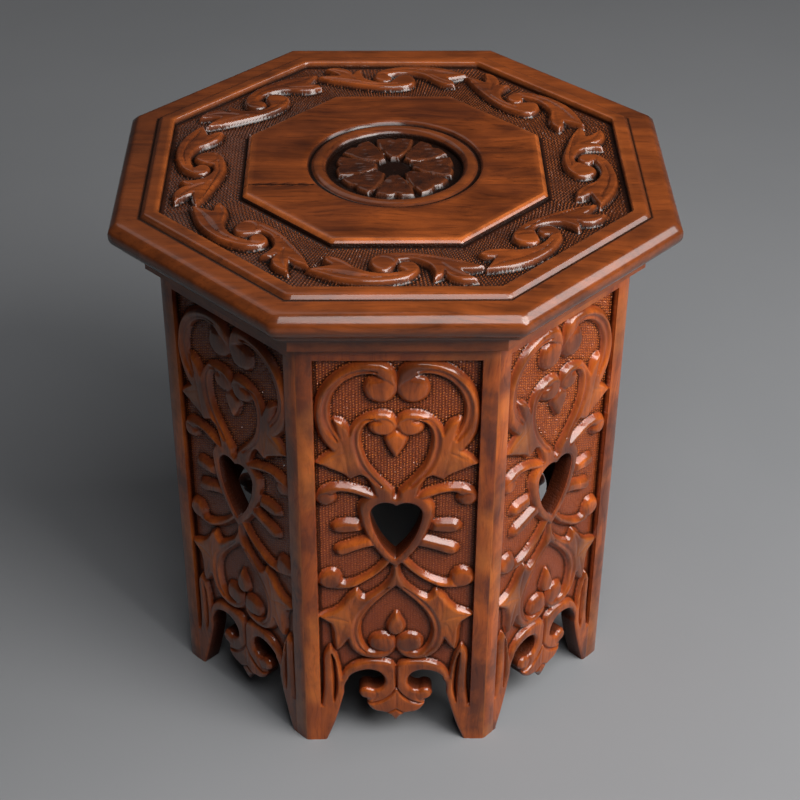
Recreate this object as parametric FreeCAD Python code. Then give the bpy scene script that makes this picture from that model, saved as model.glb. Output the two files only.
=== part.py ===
import FreeCAD, Part
import math
import os

from FreeCAD import Vector

# Octagonal carved side table, in millimetres.
# The floor is z = 0, +Z is up, the axis of the table is the Z axis and the first panel faces -Y.

# The whole table
side_count = 8
table_height = 402.0
top_across_flats = 380.0
top_overhang = 30.5

# Top: two boards glued edge to edge, with a moulded rim
top_thickness = 25.0
board_joint_back = 30.0
rim_drop = 3.0
rim_round_reach = 6.0
rim_round_height = 6.0
rim_face_height = 3.0
rim_under_reach = 8.0
rim_under_height = 9.0
rim_flat_width = 15.0
raised_rim_width = 11.5
raised_rim_round = 4.0

# Top: sunk band and raised middle
band_depth = 5.0
middle_across_flats = 207.0
middle_bevel = 2.5

# Top: round medallion with a rosette of eight petals, turned by a few degrees
medallion_radius = 47.0
medallion_depth = 6.0
bead_width = 10.5
bead_height = 1.8
groove_width = 3.5
groove_depth = 2.4
rosette_radius = 40.0
rosette_eye_radius = 13.0
rosette_height = 4.2
petal_gap = 2.6
petal_turn = 22.0

# Cornice strips under the top
cornice_height = 21.0
cornice_setback = 2.0
cornice_cove_height = 11.0
cornice_fillet_reach = 9.0
cornice_fillet_height = 6.0

# Side panels, with a ground sunk between the frame and the feet
panel_thickness = 14.0
stile_width = 11.0
top_rail_height = 30.5
ground_depth = 5.0
ground_foot = 35.0

# Arched lower edge of a panel
foot_width = 15.3
arch_height = 70.5

# Half of the lower edge, from the inside of a foot to the tip of the pendant. Each arc is given by
# a point on the way and its end, as shares of the half span between the feet and of the arch height.
arch_start_shares = (1.0, 0.0)
arch_arc_shares = (
    ((0.845, 0.36), (0.733, 0.695)),
    ((0.615, 0.935), (0.395, 1.0)),
    ((0.225, 0.95), (0.165, 0.85)),
    ((0.205, 0.755), (0.335, 0.715)),
    ((0.520, 0.690), (0.420, 0.580)),
    ((0.395, 0.465), (0.255, 0.385)),
    ((0.085, 0.335), (0.0, 0.235)),
)

# Pierced heart of a panel: its arcs as shares of the heart's half width and height
heart_width = 36.0
heart_height = 50.0
heart_tip_share = 0.472
heart_start_shares = (0.0, 0.95)
heart_arc_shares = (
    ((0.52, 1.0), (0.98, 0.80)),
    ((0.73, 0.40), (0.0, 0.0)),
)

# Raised ring round the heart, and how far the carved faces lie below the face they are cut from
ring_width = 7.0
ring_tip_drop = 8.0
carving_drop = 0.2

# The carving of a panel is drawn on squares, 55 across half the sunk field and 346.5 from the floor
# to its head. Each form is a start point and then smooth runs, each from the corner before it.
square_across_share = 1 / 55
square_up_share = 1 / 346.5
c_scroll_shares = (
    (42.5, 272),
    ((48.2, 280), (52, 290), (53.5, 303), (51, 317), (44.5, 329), (35, 337.5), (24, 342), (13, 343),
     (5, 339.5), (1.3, 332), (1, 322), (4.8, 315), (11, 312.8), (17.5, 315.5), (20, 322.5),
     (17.5, 329.5), (10, 331.8)),
    ((14, 334.8), (20, 335.5), (28, 333.5), (36, 328.5), (42.5, 320), (46, 309), (45.8, 298),
     (43, 290), (38.5, 283.5)),
    ((33, 277),),
    ((42.5, 272),),
)
heart_scroll_shares = (
    (31.5, 286.5),
    ((28.5, 292), (23.5, 298), (17, 302), (10, 303.3), (4, 301.5), (0.9, 296.5), (1, 291.5),
     (4, 287.3), (9, 285.9), (14.5, 287.5), (17, 291), (16, 295), (11, 297.2)),
    ((16, 297.8), (21, 294.8), (24.3, 289), (25.3, 281), (24, 271.5), (20.3, 261), (13.5, 250.5),
     (7.5, 243), (3, 237.5)),
    ((2, 231),),
    ((13, 231),),
    ((14.5, 238),),
    ((16, 243.5), (19.5, 249.5), (24, 252)),
    ((27, 250.5), (31, 248.3)),
    ((34, 251.5), (37.2, 253.6)),
    ((43, 256.5), (49.5, 260), (53.8, 262)),
    ((48, 267), (42.5, 272)),
    ((38.5, 283.5),),
    ((40, 289.5), (41.5, 297.5)),
    ((37, 296), (33.8, 292), (31.5, 286.5)),
)
comma_shares = (
    (14, 229.5),
    ((15, 234.5),),
    ((22, 237.5), (30, 240.3), (38, 241.6), (45, 241), (50.5, 238), (53.4, 233), (52.5, 228.5),
     (48.5, 226), (44, 227.3), (42, 231), (43.5, 234.6)),
    ((38.5, 237.5), (30, 236.2), (22, 233), (14, 229.5)),
)
upper_finger_shares = (
    (26, 209),
    ((33, 209.8), (39.5, 209.2), (42.6, 206.3), (41.3, 202.8), (35.5, 201.6), (25, 202.8)),
    ((26, 209),),
)
lower_finger_shares = (
    (17.5, 196),
    ((24, 193.8), (31, 191.2), (38, 188.8), (41, 186), (40, 182.4), (36, 181.8), (28, 185.2),
     (20.5, 188), (14.5, 189.5)),
    ((17.5, 196),),
)
stem_shares = (
    (3, 181),
    ((8.3, 173), (13.5, 166.5), (20, 161.3), (28, 156.6), (35, 154.8), (38.6, 157), (39.8, 162),
     (43.5, 166), (49, 165), (53, 160.5), (52.8, 155.5), (48.5, 151.8), (42.5, 150.8), (36, 150.6),
     (29, 152), (21.5, 156.8), (14.5, 162.3), (8, 169), (2, 177)),
    ((3, 181),),
)
lower_heart_shares = (
    (-1, 172),
    ((1, 166.5), (2, 161.5), (4.6, 156), (9, 150), (15, 144.5), (21.5, 140.5)),
    ((25, 142.5), (27.5, 147)),
    ((32.5, 142), (36.5, 135.5), (42, 130), (48, 127), (54, 124.5)),
    ((49.5, 120.5), (45.5, 117), (43.8, 110), (43.5, 101), (42, 91.5)),
    ((38.5, 95), (35.5, 100), (34, 103)),
    ((32.5, 97), (29, 90), (23.5, 85.3), (16, 83.3), (8.5, 84.2), (3, 88.5), (1.2, 96),
     (3, 102.5), (9, 105.3), (15.5, 103), (17.6, 97), (15.5, 91.8), (9.5, 90)),
    ((15, 88.6), (20, 90.5), (23.8, 95.5), (26, 102), (27, 110), (25.8, 118.5), (22, 127),
     (16.5, 135), (9, 143.5), (3.5, 149.5), (-1, 154)),
    ((-1, 172),),
)
apron_shares = (
    (-1, 72.5),
    ((4, 78), (12, 80), (22, 79.5), (30, 76), (36, 69.5), (38.8, 63)),
    ((41, 76), (43.2, 86), (47, 94)),
    ((50.8, 86), (51, 70), (51.5, 52), (53.4, 36)),
    ((53.4, 30),),
    ((-1, 30),),
    ((-1, 72.5),),
)
paired_form_shares = (c_scroll_shares, heart_scroll_shares, comma_shares, upper_finger_shares,
                      lower_finger_shares, stem_shares, lower_heart_shares, apron_shares)

# The two buds on the middle line of a panel, on the same squares
upper_bud_shares = (
    (0, 289),
    ((4.5, 286.5), (6.8, 282.5), (5, 277), (2, 271), (0, 267.8)),
    ((-2, 271), (-5, 277), (-6.8, 282.5), (-4.5, 286.5), (0, 289)),
)
lower_bud_shares = (
    (0, 125.5),
    ((3.2, 119.5), (5.2, 113.5), (4, 108.5), (0, 106.3), (-4, 108.5), (-5.2, 113.5), (-3.2, 119.5),
     (0, 125.5)),
)
middle_form_shares = (upper_bud_shares, lower_bud_shares)

# The carving of the sunk band of the top, drawn on squares: 65 along half the outer edge of a side,
# and 54 from the foot of the raised middle out to the rim
band_square_along_share = 1 / 65
band_square_out_share = 1 / 54
lower_comma_shares = (
    (-57, 33),
    ((-50, 37.8), (-40, 43.5), (-30, 46.8), (-20, 48), (-9, 47.5), (1.5, 44.8), (8.5, 40.8),
     (12.8, 34.5), (13.3, 29), (10.3, 25), (5, 24), (1.2, 26.5), (0.8, 31), (4.5, 34.8)),
    ((-3, 37.3), (-11, 37.8), (-19, 35.8), (-26, 31.3), (-31.5, 24.5), (-38, 19), (-46.5, 17.5)),
    ((-45.8, 22.5), (-41.5, 27.8)),
    ((-48, 29.8), (-57, 33)),
)
upper_comma_shares = (
    (1.5, 22),
    ((-1, 27), (-4.5, 32.3), (-9, 34.8), (-14, 32.5), (-17, 26.5), (-16, 20.3), (-10.5, 15.8),
     (-2, 13.8), (8, 13.7), (18, 15.5), (29, 18.8), (42, 23.5), (55.5, 30.3)),
    ((47, 32.8), (39.5, 33.1)),
    ((43, 38), (50, 44.3)),
    ((43, 46.1), (36, 44.5), (31, 40), (29.3, 35)),
    ((28, 39.5), (23.3, 42.8)),
    ((22.8, 35.5), (20.5, 29), (15, 24), (8, 21.3), (1.5, 22)),
)
band_form_shares = (lower_comma_shares, upper_comma_shares)

# Glue blocks in the corners of the base
corner_block_face = 20.0
corner_block_top_gap = 22.0
corner_block_foot_gap = 25.0

# Fixing blocks under the top
top_block_width = 46.0
top_block_depth = 22.0
top_block_height = 22.0
top_block_chamfer = 5.0

# Screws of the fixing blocks
screw_shank_radius = 1.75
screw_head_radius = 3.5
screw_head_height = 2.4
screw_slot_width = 0.9
screw_slot_depth = 1.1
screw_point_length = 3.0
screw_bite = 10.0
screw_spacing = 20.0

# Brads of the cornice strips
brad_radius = 0.8
brad_head_radius = 1.3
brad_head_height = 1.0
brad_sink = 0.6
brad_bite = 8.0
brad_end_gap = 22.0

# Room round a fastener, and how far a cutting shape runs past what it cuts
fastener_clearance = 0.05
overrun = 10.0

# The rise of a quarter round over its chord
quarter_round_share = 0.207

# Worked out from the sizes above
side_angle = 360.0 / side_count
mitre_tangent = math.tan(math.radians(side_angle / 2))
top_half = top_across_flats / 2
top_underside = table_height - top_thickness
underside_half = top_half - rim_under_reach
raised_rim_half = top_half - rim_round_reach - rim_flat_width
band_half = raised_rim_half - raised_rim_width
middle_half = middle_across_flats / 2
base_half = top_half - top_overhang
inner_half = base_half - panel_thickness
panel_half_width = base_half * mitre_tangent
arch_half_span = panel_half_width - foot_width
field_half_width = panel_half_width - stile_width
field_head = top_underside - top_rail_height
strip_bottom = top_underside - cornice_height
heart_tip_height = top_underside * heart_tip_share
screw_reach = top_block_height + screw_bite


def turned(shape, place):
    """A copy of a piece of the first side, turned to another side of the octagon."""
    copy = shape.copy()
    copy.rotate(Vector(0, 0, 0), Vector(0, 0, 1), side_angle * place)
    return copy


def corner_points(half, height):
    """The corners of a level octagon that measures half to the middle of each side."""
    radius = half / math.cos(math.radians(side_angle / 2))
    angles = [math.radians(side_angle * (place + 0.5) - 90) for place in range(side_count)]
    return [Vector(radius * math.cos(angle), radius * math.sin(angle), height) for angle in angles]


def octagon_wire(half, height):
    corners = corner_points(half, height)
    return Part.makePolygon(corners + corners[:1])


def octagon_prism(half, low, high):
    return Part.Face(octagon_wire(half, low)).extrude(Vector(0, 0, high - low))


def side_point(out, height):
    """A point of a side's upright section, a distance out from the axis of the table."""
    return Vector(0, -out, height)


def line(start, end):
    return Part.LineSegment(start, end).toShape()


def arc(start, on_the_way, end):
    return Part.Arc(start, on_the_way, end).toShape()


def swell(start, end, way=1):
    """The middle of a quarter round between two points: way 1 swells out, -1 is hollow."""
    run = end - start
    square = Vector(0, run.z, -run.y)
    return (start + end) * 0.5 + square * (way * quarter_round_share)


def smooth_run(points):
    """One edge through a row of points: straight between two, and an even curve through more."""
    if len(points) == 2:
        return line(points[0], points[1])
    curve = Part.BSplineCurve()
    curve.interpolate(points)
    return curve.toShape()


def form_face(form_shares, place):
    """The face of a carved form, whose points are set down by the given function."""
    here = place(form_shares[0])
    edges = []
    for run in form_shares[1:]:
        points = [here] + [place(shares) for shares in run]
        edges.append(smooth_run(points))
        here = points[-1]
    return Part.Face(Part.Wire(edges))


def closed_edges(points, arc_middles):
    """The edges round a section: straight, or an arc where a stretch has a middle point."""
    edges = []
    for place, start in enumerate(points):
        end = points[(place + 1) % len(points)]
        if place in arc_middles:
            edges.append(arc(start, arc_middles[place], end))
        else:
            edges.append(line(start, end))
    return edges


def long_section(edges, half_length):
    """A section of a side, drawn out along the side to both ends."""
    face = Part.Face(Part.Wire(edges))
    face.translate(Vector(-half_length, 0, 0))
    return face.extrude(Vector(half_length * 2, 0, 0))


def side_wedge(half, low, high):
    """The eighth of the table that belongs to the first side, from the axis out."""
    reach = half * mitre_tangent
    corners = [Vector(0, 0, low), Vector(-reach, -half, low), Vector(reach, -half, low), Vector(0, 0, low)]
    return Part.Face(Part.makePolygon(corners)).extrude(Vector(0, 0, high - low))


def top_slab():
    """The moulded edge of one side of the top, with everything that lies behind it."""
    rim_top = table_height - rim_drop
    face_top = rim_top - rim_round_height
    face_foot = face_top - rim_face_height
    under_foot = face_foot - rim_under_height
    far = -top_across_flats
    points = [
        side_point(far, table_height),
        side_point(raised_rim_half - raised_rim_round, table_height),
        side_point(raised_rim_half, rim_top),
        side_point(top_half - rim_round_reach, rim_top),
        side_point(top_half, face_top),
        side_point(top_half, face_foot),
        side_point(underside_half, under_foot),
        side_point(underside_half, top_underside),
        side_point(far, top_underside),
    ]
    rounds = {place: swell(points[place], points[place + 1]) for place in (1, 3, 5)}
    edges = closed_edges(points, rounds)
    return long_section(edges, top_across_flats)


def band_forms():
    """The pair of carved commas on each side of the band, standing up through its floor."""
    low = table_height - band_depth * 2
    rise = Vector(0, 0, band_depth * 2 - carving_drop)
    half_length = band_half * mitre_tangent

    def place(shares):
        along = shares[0] * band_square_along_share * half_length
        out = middle_half + shares[1] * band_square_out_share * (band_half - middle_half)
        return Vector(along, -out, low)
    commas = [form_face(form_shares, place).extrude(rise) for form_shares in band_form_shares]
    return [turned(comma, side) for side in range(side_count) for comma in commas]


def sunk_band():
    """What is taken out of the top between its rim and its raised middle, round the carving."""
    floor = table_height - band_depth
    above = table_height + overrun
    slope = middle_bevel / band_depth
    foot = octagon_wire(middle_half, floor)
    head = octagon_wire(middle_half - slope * (above - floor), above)
    middle = Part.makeLoft([foot, head], True, True)
    return octagon_prism(band_half, floor, above).cut([middle] + band_forms())


def medallion_cut():
    """The round sunk field, the bead round it and the groove round the bead, as one turned cut."""
    floor = table_height - medallion_depth
    above = table_height + overrun
    bead_foot = table_height - bead_height
    bead_out = medallion_radius + bead_width
    groove_middle = bead_out + groove_width / 2
    groove_out = bead_out + groove_width
    points = [
        Vector(0, 0, above),
        Vector(0, 0, floor),
        Vector(medallion_radius, 0, floor),
        Vector(medallion_radius, 0, bead_foot),
        Vector(bead_out, 0, bead_foot),
        Vector(groove_middle, 0, table_height - groove_depth),
        Vector(groove_out, 0, table_height),
        Vector(groove_out, 0, above),
    ]
    bead_top = Vector(medallion_radius + bead_width / 2, 0, table_height)
    edges = closed_edges(points, {3: bead_top})
    face = Part.Face(Part.Wire(edges))
    return face.revolve(Vector(0, 0, 0), Vector(0, 0, 1), 360)


def rosette():
    """Eight flat petals round an open eye, rooted in the floor of the medallion."""
    low = table_height - medallion_depth - rosette_height
    height = rosette_height * 2
    foot = Vector(0, 0, low)
    petals = Part.makeCylinder(rosette_radius, height, foot)
    gaps = [Part.makeCylinder(rosette_eye_radius, height, foot)]
    for place in range(side_count):
        gap = Part.makeBox(rosette_radius + overrun, petal_gap, height, Vector(0, -petal_gap / 2, low))
        gap.rotate(Vector(0, 0, 0), Vector(0, 0, 1), petal_turn)
        gaps.append(turned(gap, place))
    return petals.cut(gaps)


def top_boards(screw_room):
    """The front and the back board of the top."""
    slab = top_slab()
    board = slab
    for place in range(1, side_count):
        board = board.common(turned(slab, place))
    board = board.cut(sunk_band()).cut(medallion_cut()).fuse(rosette()).removeSplitter()
    for place in range(side_count):
        board = board.cut(turned(screw_room, place))
    size = top_across_flats + overrun * 2
    corner = Vector(-size / 2, -size - board_joint_back, top_underside - overrun)
    front_room = Part.makeBox(size, size, top_thickness + overrun * 2, corner)
    return board.common(front_room), board.cut(front_room)


def cornice_strip():
    """One strip: a hollow cove over a fillet and a round, mitred at both ends."""
    head_out = underside_half - cornice_setback
    fillet_out = base_half + cornice_fillet_reach
    cove_foot = top_underside - cornice_cove_height
    fillet_foot = cove_foot - cornice_fillet_height
    points = [
        side_point(base_half, top_underside),
        side_point(head_out, top_underside),
        side_point(fillet_out, cove_foot),
        side_point(fillet_out, fillet_foot),
        side_point(base_half, strip_bottom),
    ]
    rounds = {1: swell(points[1], points[2], -1), 3: swell(points[3], points[4])}
    edges = closed_edges(points, rounds)
    strip = long_section(edges, top_half)
    return strip.common(side_wedge(top_half, strip_bottom, top_underside))


def half_outline(start_shares, arc_shares, half_width, height, foot, out, side):
    """Half of an outline drawn on a panel, on its right or, with side -1, its left."""
    def place(shares):
        return Vector(side * shares[0] * half_width, -out, foot + shares[1] * height)
    edges = []
    start = place(start_shares)
    for on_the_way, end in arc_shares:
        edges.append(arc(start, place(on_the_way), place(end)))
        start = place(end)
    return edges


def arch_room():
    """The gap under a panel: two arches with the scrolled pendant hanging between them."""
    out = base_half + overrun
    edges = []
    for side in (1, -1):
        edges += half_outline(arch_start_shares, arch_arc_shares, arch_half_span, arch_height, 0, out, side)
    low_right = Vector(arch_half_span, -out, -overrun)
    low_left = Vector(-arch_half_span, -out, -overrun)
    edges.append(line(Vector(arch_half_span, -out, 0), low_right))
    edges.append(line(low_right, low_left))
    edges.append(line(low_left, Vector(-arch_half_span, -out, 0)))
    outline = Part.Wire(Part.__sortEdges__(edges))
    return Part.Face(outline).extrude(Vector(0, panel_thickness + overrun * 2, 0))


def heart_face(half_width, height, foot, out):
    """A heart drawn on a panel, with its tip at the given height."""
    edges = []
    for side in (1, -1):
        edges += half_outline(heart_start_shares, heart_arc_shares, half_width, height, foot, out, side)
    return Part.Face(Part.Wire(Part.__sortEdges__(edges)))


def heart_room():
    """The heart pierced through a panel."""
    heart = heart_face(heart_width / 2, heart_height, heart_tip_height, base_half + overrun)
    return heart.extrude(Vector(0, panel_thickness + overrun * 2, 0))


def heart_ring():
    """The larger heart round the pierced one, whose rim stays as a raised ring."""
    half_width = heart_width / 2 + ring_width
    height = heart_height + ring_width + ring_tip_drop
    return heart_face(half_width, height, heart_tip_height - ring_tip_drop, base_half - carving_drop)


def panel_forms():
    """The carved forms of a panel, from their faces back into the board behind the ground."""
    def on_right(shares):
        across = shares[0] * square_across_share * field_half_width
        return Vector(across, carving_drop - base_half, shares[1] * square_up_share * field_head)

    def on_left(shares):
        return on_right((-shares[0], shares[1]))
    faces = [heart_ring()]
    faces += [form_face(form_shares, on_right) for form_shares in paired_form_shares + middle_form_shares]
    faces += [form_face(form_shares, on_left) for form_shares in paired_form_shares]
    return [face.extrude(Vector(0, ground_depth * 2, 0)) for face in faces]


def sunk_ground():
    """What is taken out between the stiles, the top rail and the feet of a panel, round the carving."""
    height = field_head - ground_foot
    corner = Vector(-field_half_width, -base_half - overrun, ground_foot)
    field = Part.makeBox(field_half_width * 2, ground_depth + overrun, height, corner)
    return field.cut(panel_forms())


def side_panel(block_screw_room, brad_rooms):
    """One panel, mitred along both upright edges."""
    panel = side_wedge(base_half, 0, top_underside).cut(side_wedge(inner_half, 0, top_underside))
    panel = panel.cut(sunk_ground()).cut(arch_room()).cut(heart_room()).cut(block_screw_room)
    for room in brad_rooms:
        panel = panel.cut(room)
    return panel.removeSplitter()


def corner_block():
    """The glue block in the corner to the right of a panel: three-sided, up the inside of the mitre."""
    low = arch_height + corner_block_foot_gap
    high = top_underside - corner_block_top_gap
    corner = corner_points(inner_half, low)[0]
    turn = math.radians(side_angle)
    along_first = Vector(-corner_block_face, 0, 0)
    along_next = Vector(corner_block_face * math.cos(turn), corner_block_face * math.sin(turn), 0)
    points = [corner, corner + along_next, corner + along_first, corner]
    return Part.Face(Part.makePolygon(points)).extrude(Vector(0, 0, high - low))


def top_block(top_screw_room, block_screw_room):
    """The fixing block in the angle between a panel and the top, with one edge planed off."""
    inside = inner_half - top_block_depth
    low = top_underside - top_block_height
    points = [
        side_point(inner_half, top_underside),
        side_point(inside, top_underside),
        side_point(inside, low + top_block_chamfer),
        side_point(inside + top_block_chamfer, low),
        side_point(inner_half, low),
    ]
    block = long_section(closed_edges(points, {}), top_block_width / 2)
    return block.cut(top_screw_room).cut(block_screw_room)


def screw_body(length, clearance):
    """A countersunk screw along Z with its head's flat top at z = 0, pointing down."""
    head_foot = screw_head_height
    head_radius = screw_head_radius + clearance
    shank_radius = screw_shank_radius + clearance
    points = [
        Vector(0, 0, 0),
        Vector(head_radius, 0, 0),
        Vector(shank_radius, 0, -head_foot),
        Vector(shank_radius, 0, screw_point_length - length),
        Vector(0, 0, -length - clearance),
        Vector(0, 0, 0),
    ]
    return Part.Face(Part.makePolygon(points)).revolve(Vector(0, 0, 0), Vector(0, 0, 1), 360)


def slotted_screw(length):
    corner = Vector(-screw_head_radius, -screw_slot_width / 2, -screw_slot_depth)
    slot = Part.makeBox(screw_head_radius * 2, screw_slot_width, screw_slot_depth, corner)
    return screw_body(length, 0).cut(slot)


def set_top_screw(screw):
    """Stand a screw in a fixing block, head down, with its point in the top."""
    screw.rotate(Vector(0, 0, 0), Vector(1, 0, 0), 180)
    height = top_underside - top_block_height
    screw.translate(Vector(screw_spacing / 2, top_block_depth / 2 - inner_half, height))
    return screw


def set_block_screw(screw):
    """Lay a screw in a fixing block, head inside, with its point in the panel."""
    screw.rotate(Vector(0, 0, 0), Vector(1, 0, 0), -90)
    height = top_underside - (top_block_height - top_block_chamfer) / 2
    screw.translate(Vector(-screw_spacing / 2, top_block_depth - inner_half, height))
    return screw


def brad_body(clearance):
    """A brad lying along Y, its head's face at y = 0 and its point at +Y."""
    length = cornice_fillet_reach - brad_sink + brad_bite
    along = Vector(0, 1, 0)
    shank = Part.makeCylinder(brad_radius + clearance, length, Vector(0, 0, 0), along)
    head = Part.makeCylinder(brad_head_radius + clearance, brad_head_height, Vector(0, 0, 0), along)
    return shank.fuse(head).removeSplitter()


def brad_places():
    """Where the two brads of a strip are, sunk in its fillet."""
    across = panel_half_width - brad_end_gap
    height = top_underside - cornice_cove_height - cornice_fillet_height / 2
    out = base_half + cornice_fillet_reach - brad_sink
    return [Vector(across, -out, height), Vector(-across, -out, height)]


def brads(clearance):
    placed = []
    for place in brad_places():
        brad = brad_body(clearance)
        brad.translate(place)
        placed.append(brad)
    return placed


def brad_mouths():
    """The holes over the brads' sunk heads."""
    radius = brad_head_radius + fastener_clearance
    return [Part.makeCylinder(radius, brad_sink, place, Vector(0, -1, 0)) for place in brad_places()]


def save(node, shape):
    shape.exportStep("parts/" + node + ".step")
    print(node, len(shape.Solids), "solid(s),", round(shape.Volume), "cubic mm")


def save_all_round(node, shape):
    """One node for each side of the table."""
    for place in range(side_count):
        save(node + "_" + str(place + 1), turned(shape, place))


def save_group(node, shapes):
    """One node that holds the same fasteners on every side of the table."""
    group = [turned(shape, place) for place in range(side_count) for shape in shapes]
    save(node, Part.makeCompound(group))


def main():
    os.makedirs("parts", exist_ok=True)
    block_screw_length = top_block_depth + screw_bite
    top_screw_room = set_top_screw(screw_body(screw_reach, fastener_clearance))
    block_screw_room = set_block_screw(screw_body(block_screw_length, fastener_clearance))
    brad_rooms = brads(fastener_clearance)

    front_board, back_board = top_boards(top_screw_room)
    save("top_board_front", front_board)
    save("top_board_back", back_board)

    strip = cornice_strip()
    for room in brad_rooms + brad_mouths():
        strip = strip.cut(room)
    save_all_round("cornice_strip", strip)

    save_all_round("side_panel", side_panel(block_screw_room, brad_rooms))
    save_all_round("corner_block", corner_block())
    save_all_round("top_block", top_block(top_screw_room, block_screw_room))

    save_group("top_screws", [set_top_screw(slotted_screw(screw_reach))])
    save_group("block_screws", [set_block_screw(slotted_screw(block_screw_length))])
    save_group("cornice_brads", brads(0))


main()
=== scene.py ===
# %% [markdown]
# # A carved octagonal side table
# The table is a hollow base of eight carved and pierced panels under a moulded octagonal top.
# The solids from the CAD model give every size and place, so they are loaded first.

# %% Load the frame
import math

import bmesh
import bpy
import numpy as np
from mathutils import Matrix, Vector, geometry


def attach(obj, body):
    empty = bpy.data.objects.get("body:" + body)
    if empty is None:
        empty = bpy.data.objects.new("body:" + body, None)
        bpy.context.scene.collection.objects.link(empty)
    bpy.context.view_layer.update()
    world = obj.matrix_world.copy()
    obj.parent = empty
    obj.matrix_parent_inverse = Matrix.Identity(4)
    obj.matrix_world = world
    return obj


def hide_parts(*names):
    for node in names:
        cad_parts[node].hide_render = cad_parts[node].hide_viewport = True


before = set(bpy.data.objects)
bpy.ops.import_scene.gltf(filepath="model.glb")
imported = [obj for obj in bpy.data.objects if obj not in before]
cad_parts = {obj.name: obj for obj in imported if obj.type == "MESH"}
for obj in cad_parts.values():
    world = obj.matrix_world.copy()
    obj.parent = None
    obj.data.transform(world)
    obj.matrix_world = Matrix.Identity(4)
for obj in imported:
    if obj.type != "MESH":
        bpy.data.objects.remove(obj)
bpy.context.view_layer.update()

scene = bpy.context.scene
MM = 0.001
SIDES = 8

# %% [markdown]
# ## Sizes that the carving needs
# The drawing of the carving is in millimetres, as a carver would mark it out on the board.
# Each distance called "out" is measured from the axis of the table to a flat side.

# %% Sizes of the table
TABLE_HEIGHT = 402.0
TOP_UNDERSIDE = 377.0
TOP_OUT = 190.0
MITRE = math.tan(math.pi / SIDES)
FRAME_OUT = 159.5
GROUND_DEPTH = 5.0
GROUND_OUT = FRAME_OUT - GROUND_DEPTH
INNER_OUT = 145.5
PANEL_HALF = FRAME_OUT * MITRE
INNER_HALF = INNER_OUT * MITRE
STILE_EDGE = 55.07
FIELD_TOP = 346.5
print("panel half width", round(PANEL_HALF, 2), "mm")

# %% [markdown]
# ## Camera
# The camera stands where the photograph was taken from: almost straight in front, looking down
# by about 36 degrees with a short telephoto lens. Its axes are built from those angles, because a
# camera that is aimed by hand is hard to repeat.

# %% Camera
VIEW_ELEVATION, VIEW_AZIMUTH, VIEW_ROLL = (math.radians(turn) for turn in (36.22, -1.08, 0.41))
VIEW_DISTANCE = 1.378
VIEW_TARGET = Vector((0.0048, 0.0, 0.1986))

towards = Vector((math.sin(VIEW_AZIMUTH) * math.cos(VIEW_ELEVATION),
                  -math.cos(VIEW_AZIMUTH) * math.cos(VIEW_ELEVATION),
                  math.sin(VIEW_ELEVATION)))
level = Vector((math.cos(VIEW_AZIMUTH), math.sin(VIEW_AZIMUTH), 0.0))
upright = towards.cross(level)
right = math.cos(VIEW_ROLL) * level + math.sin(VIEW_ROLL) * upright
above = math.cos(VIEW_ROLL) * upright - math.sin(VIEW_ROLL) * level
camera_data = bpy.data.cameras.new("camera")
camera_data.sensor_width, camera_data.lens = 36.0, 81.9
camera = bpy.data.objects.new("camera", camera_data)
place = VIEW_TARGET + VIEW_DISTANCE * towards
camera.matrix_world = Matrix.Translation(place) @ Matrix((right, above, towards)).transposed().to_4x4()
scene.collection.objects.link(camera)
scene.camera = camera
print("camera at", tuple(round(c, 3) for c in place))

# %% [markdown]
# ## Outlines
# Every scroll, leaf and bud of the carving is a closed outline, drawn as a carver draws it on the
# board: it starts at a corner and goes on in smooth runs from corner to corner. How far a place
# lies inside an outline then says how high the wood stands there. The same could be modelled face
# by face, but an outline is easy to move until it matches the real scroll.

# %% Smooth lines and outlines
def smooth_line(points, steps=8):
    """A line that bends evenly through a row of points."""
    p = np.array(points, float)
    if len(p) == 2:
        return p
    p = np.vstack([2 * p[0] - p[1], p, 2 * p[-1] - p[-2]])
    t = np.linspace(0, 1, steps, endpoint=False)[:, None]
    runs = [b + 0.5 * t * (c - a + t * (2 * a - 5 * b + 4 * c - d + t * (3 * (b - c) + d - a)))
            for a, b, c, d in zip(p[:-3], p[1:-2], p[2:-1], p[3:])]
    return np.vstack(runs + [p[-2:-1]])


def form_outline(form):
    """The closed outline of a form: a start point, then smooth runs from corner to corner."""
    here, runs = form[0], []
    for run in form[1:]:
        runs.append(smooth_line([here, *run])[:-1])
        here = run[-1]
    return np.vstack(runs)


def gap_to_run(at, a, b):
    """Distance of each place from a straight run, and the share of the run where it is nearest."""
    run = b - a
    share = ((at - a) @ run / max(run @ run, 1e-9)).clip(0, 1)
    return np.hypot(*(at - a - share[:, None] * run).T), share


def outside_outline(at, outline):
    """Distance of each place from a closed outline, below zero inside it."""
    gap = np.full(len(at), 1e9)
    inside = np.zeros(len(at), bool)
    for a, b in zip(outline, np.roll(outline, -1, 0)):
        gap = np.minimum(gap, gap_to_run(at, a, b)[0])
        if abs(b[1] - a[1]) > 1e-12:
            crosses = (a[1] > at[:, 1]) != (b[1] > at[:, 1])
            inside ^= crosses & (at[:, 0] < a[0] + (b[0] - a[0]) * (at[:, 1] - a[1]) / (b[1] - a[1]))
    return np.where(inside, -gap, gap)


def inside_form(at, outline, reach=5.0):
    """How far each place lies inside a closed outline, below zero outside it."""
    inside = np.full(len(at), -50.0)
    near = ((at > outline.min(0) - reach) & (at < outline.max(0) + reach)).all(1)
    inside[near] = -outside_outline(at[near], outline)
    return inside


# %% [markdown]
# ## Pierced outlines of a panel
# The heart and the arched lower edge are cut right through the board. Their outlines are the arcs
# of the CAD solid, each through three points, drawn for one half and mirrored. A larger heart
# round the pierced one leaves a raised ring.

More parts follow.
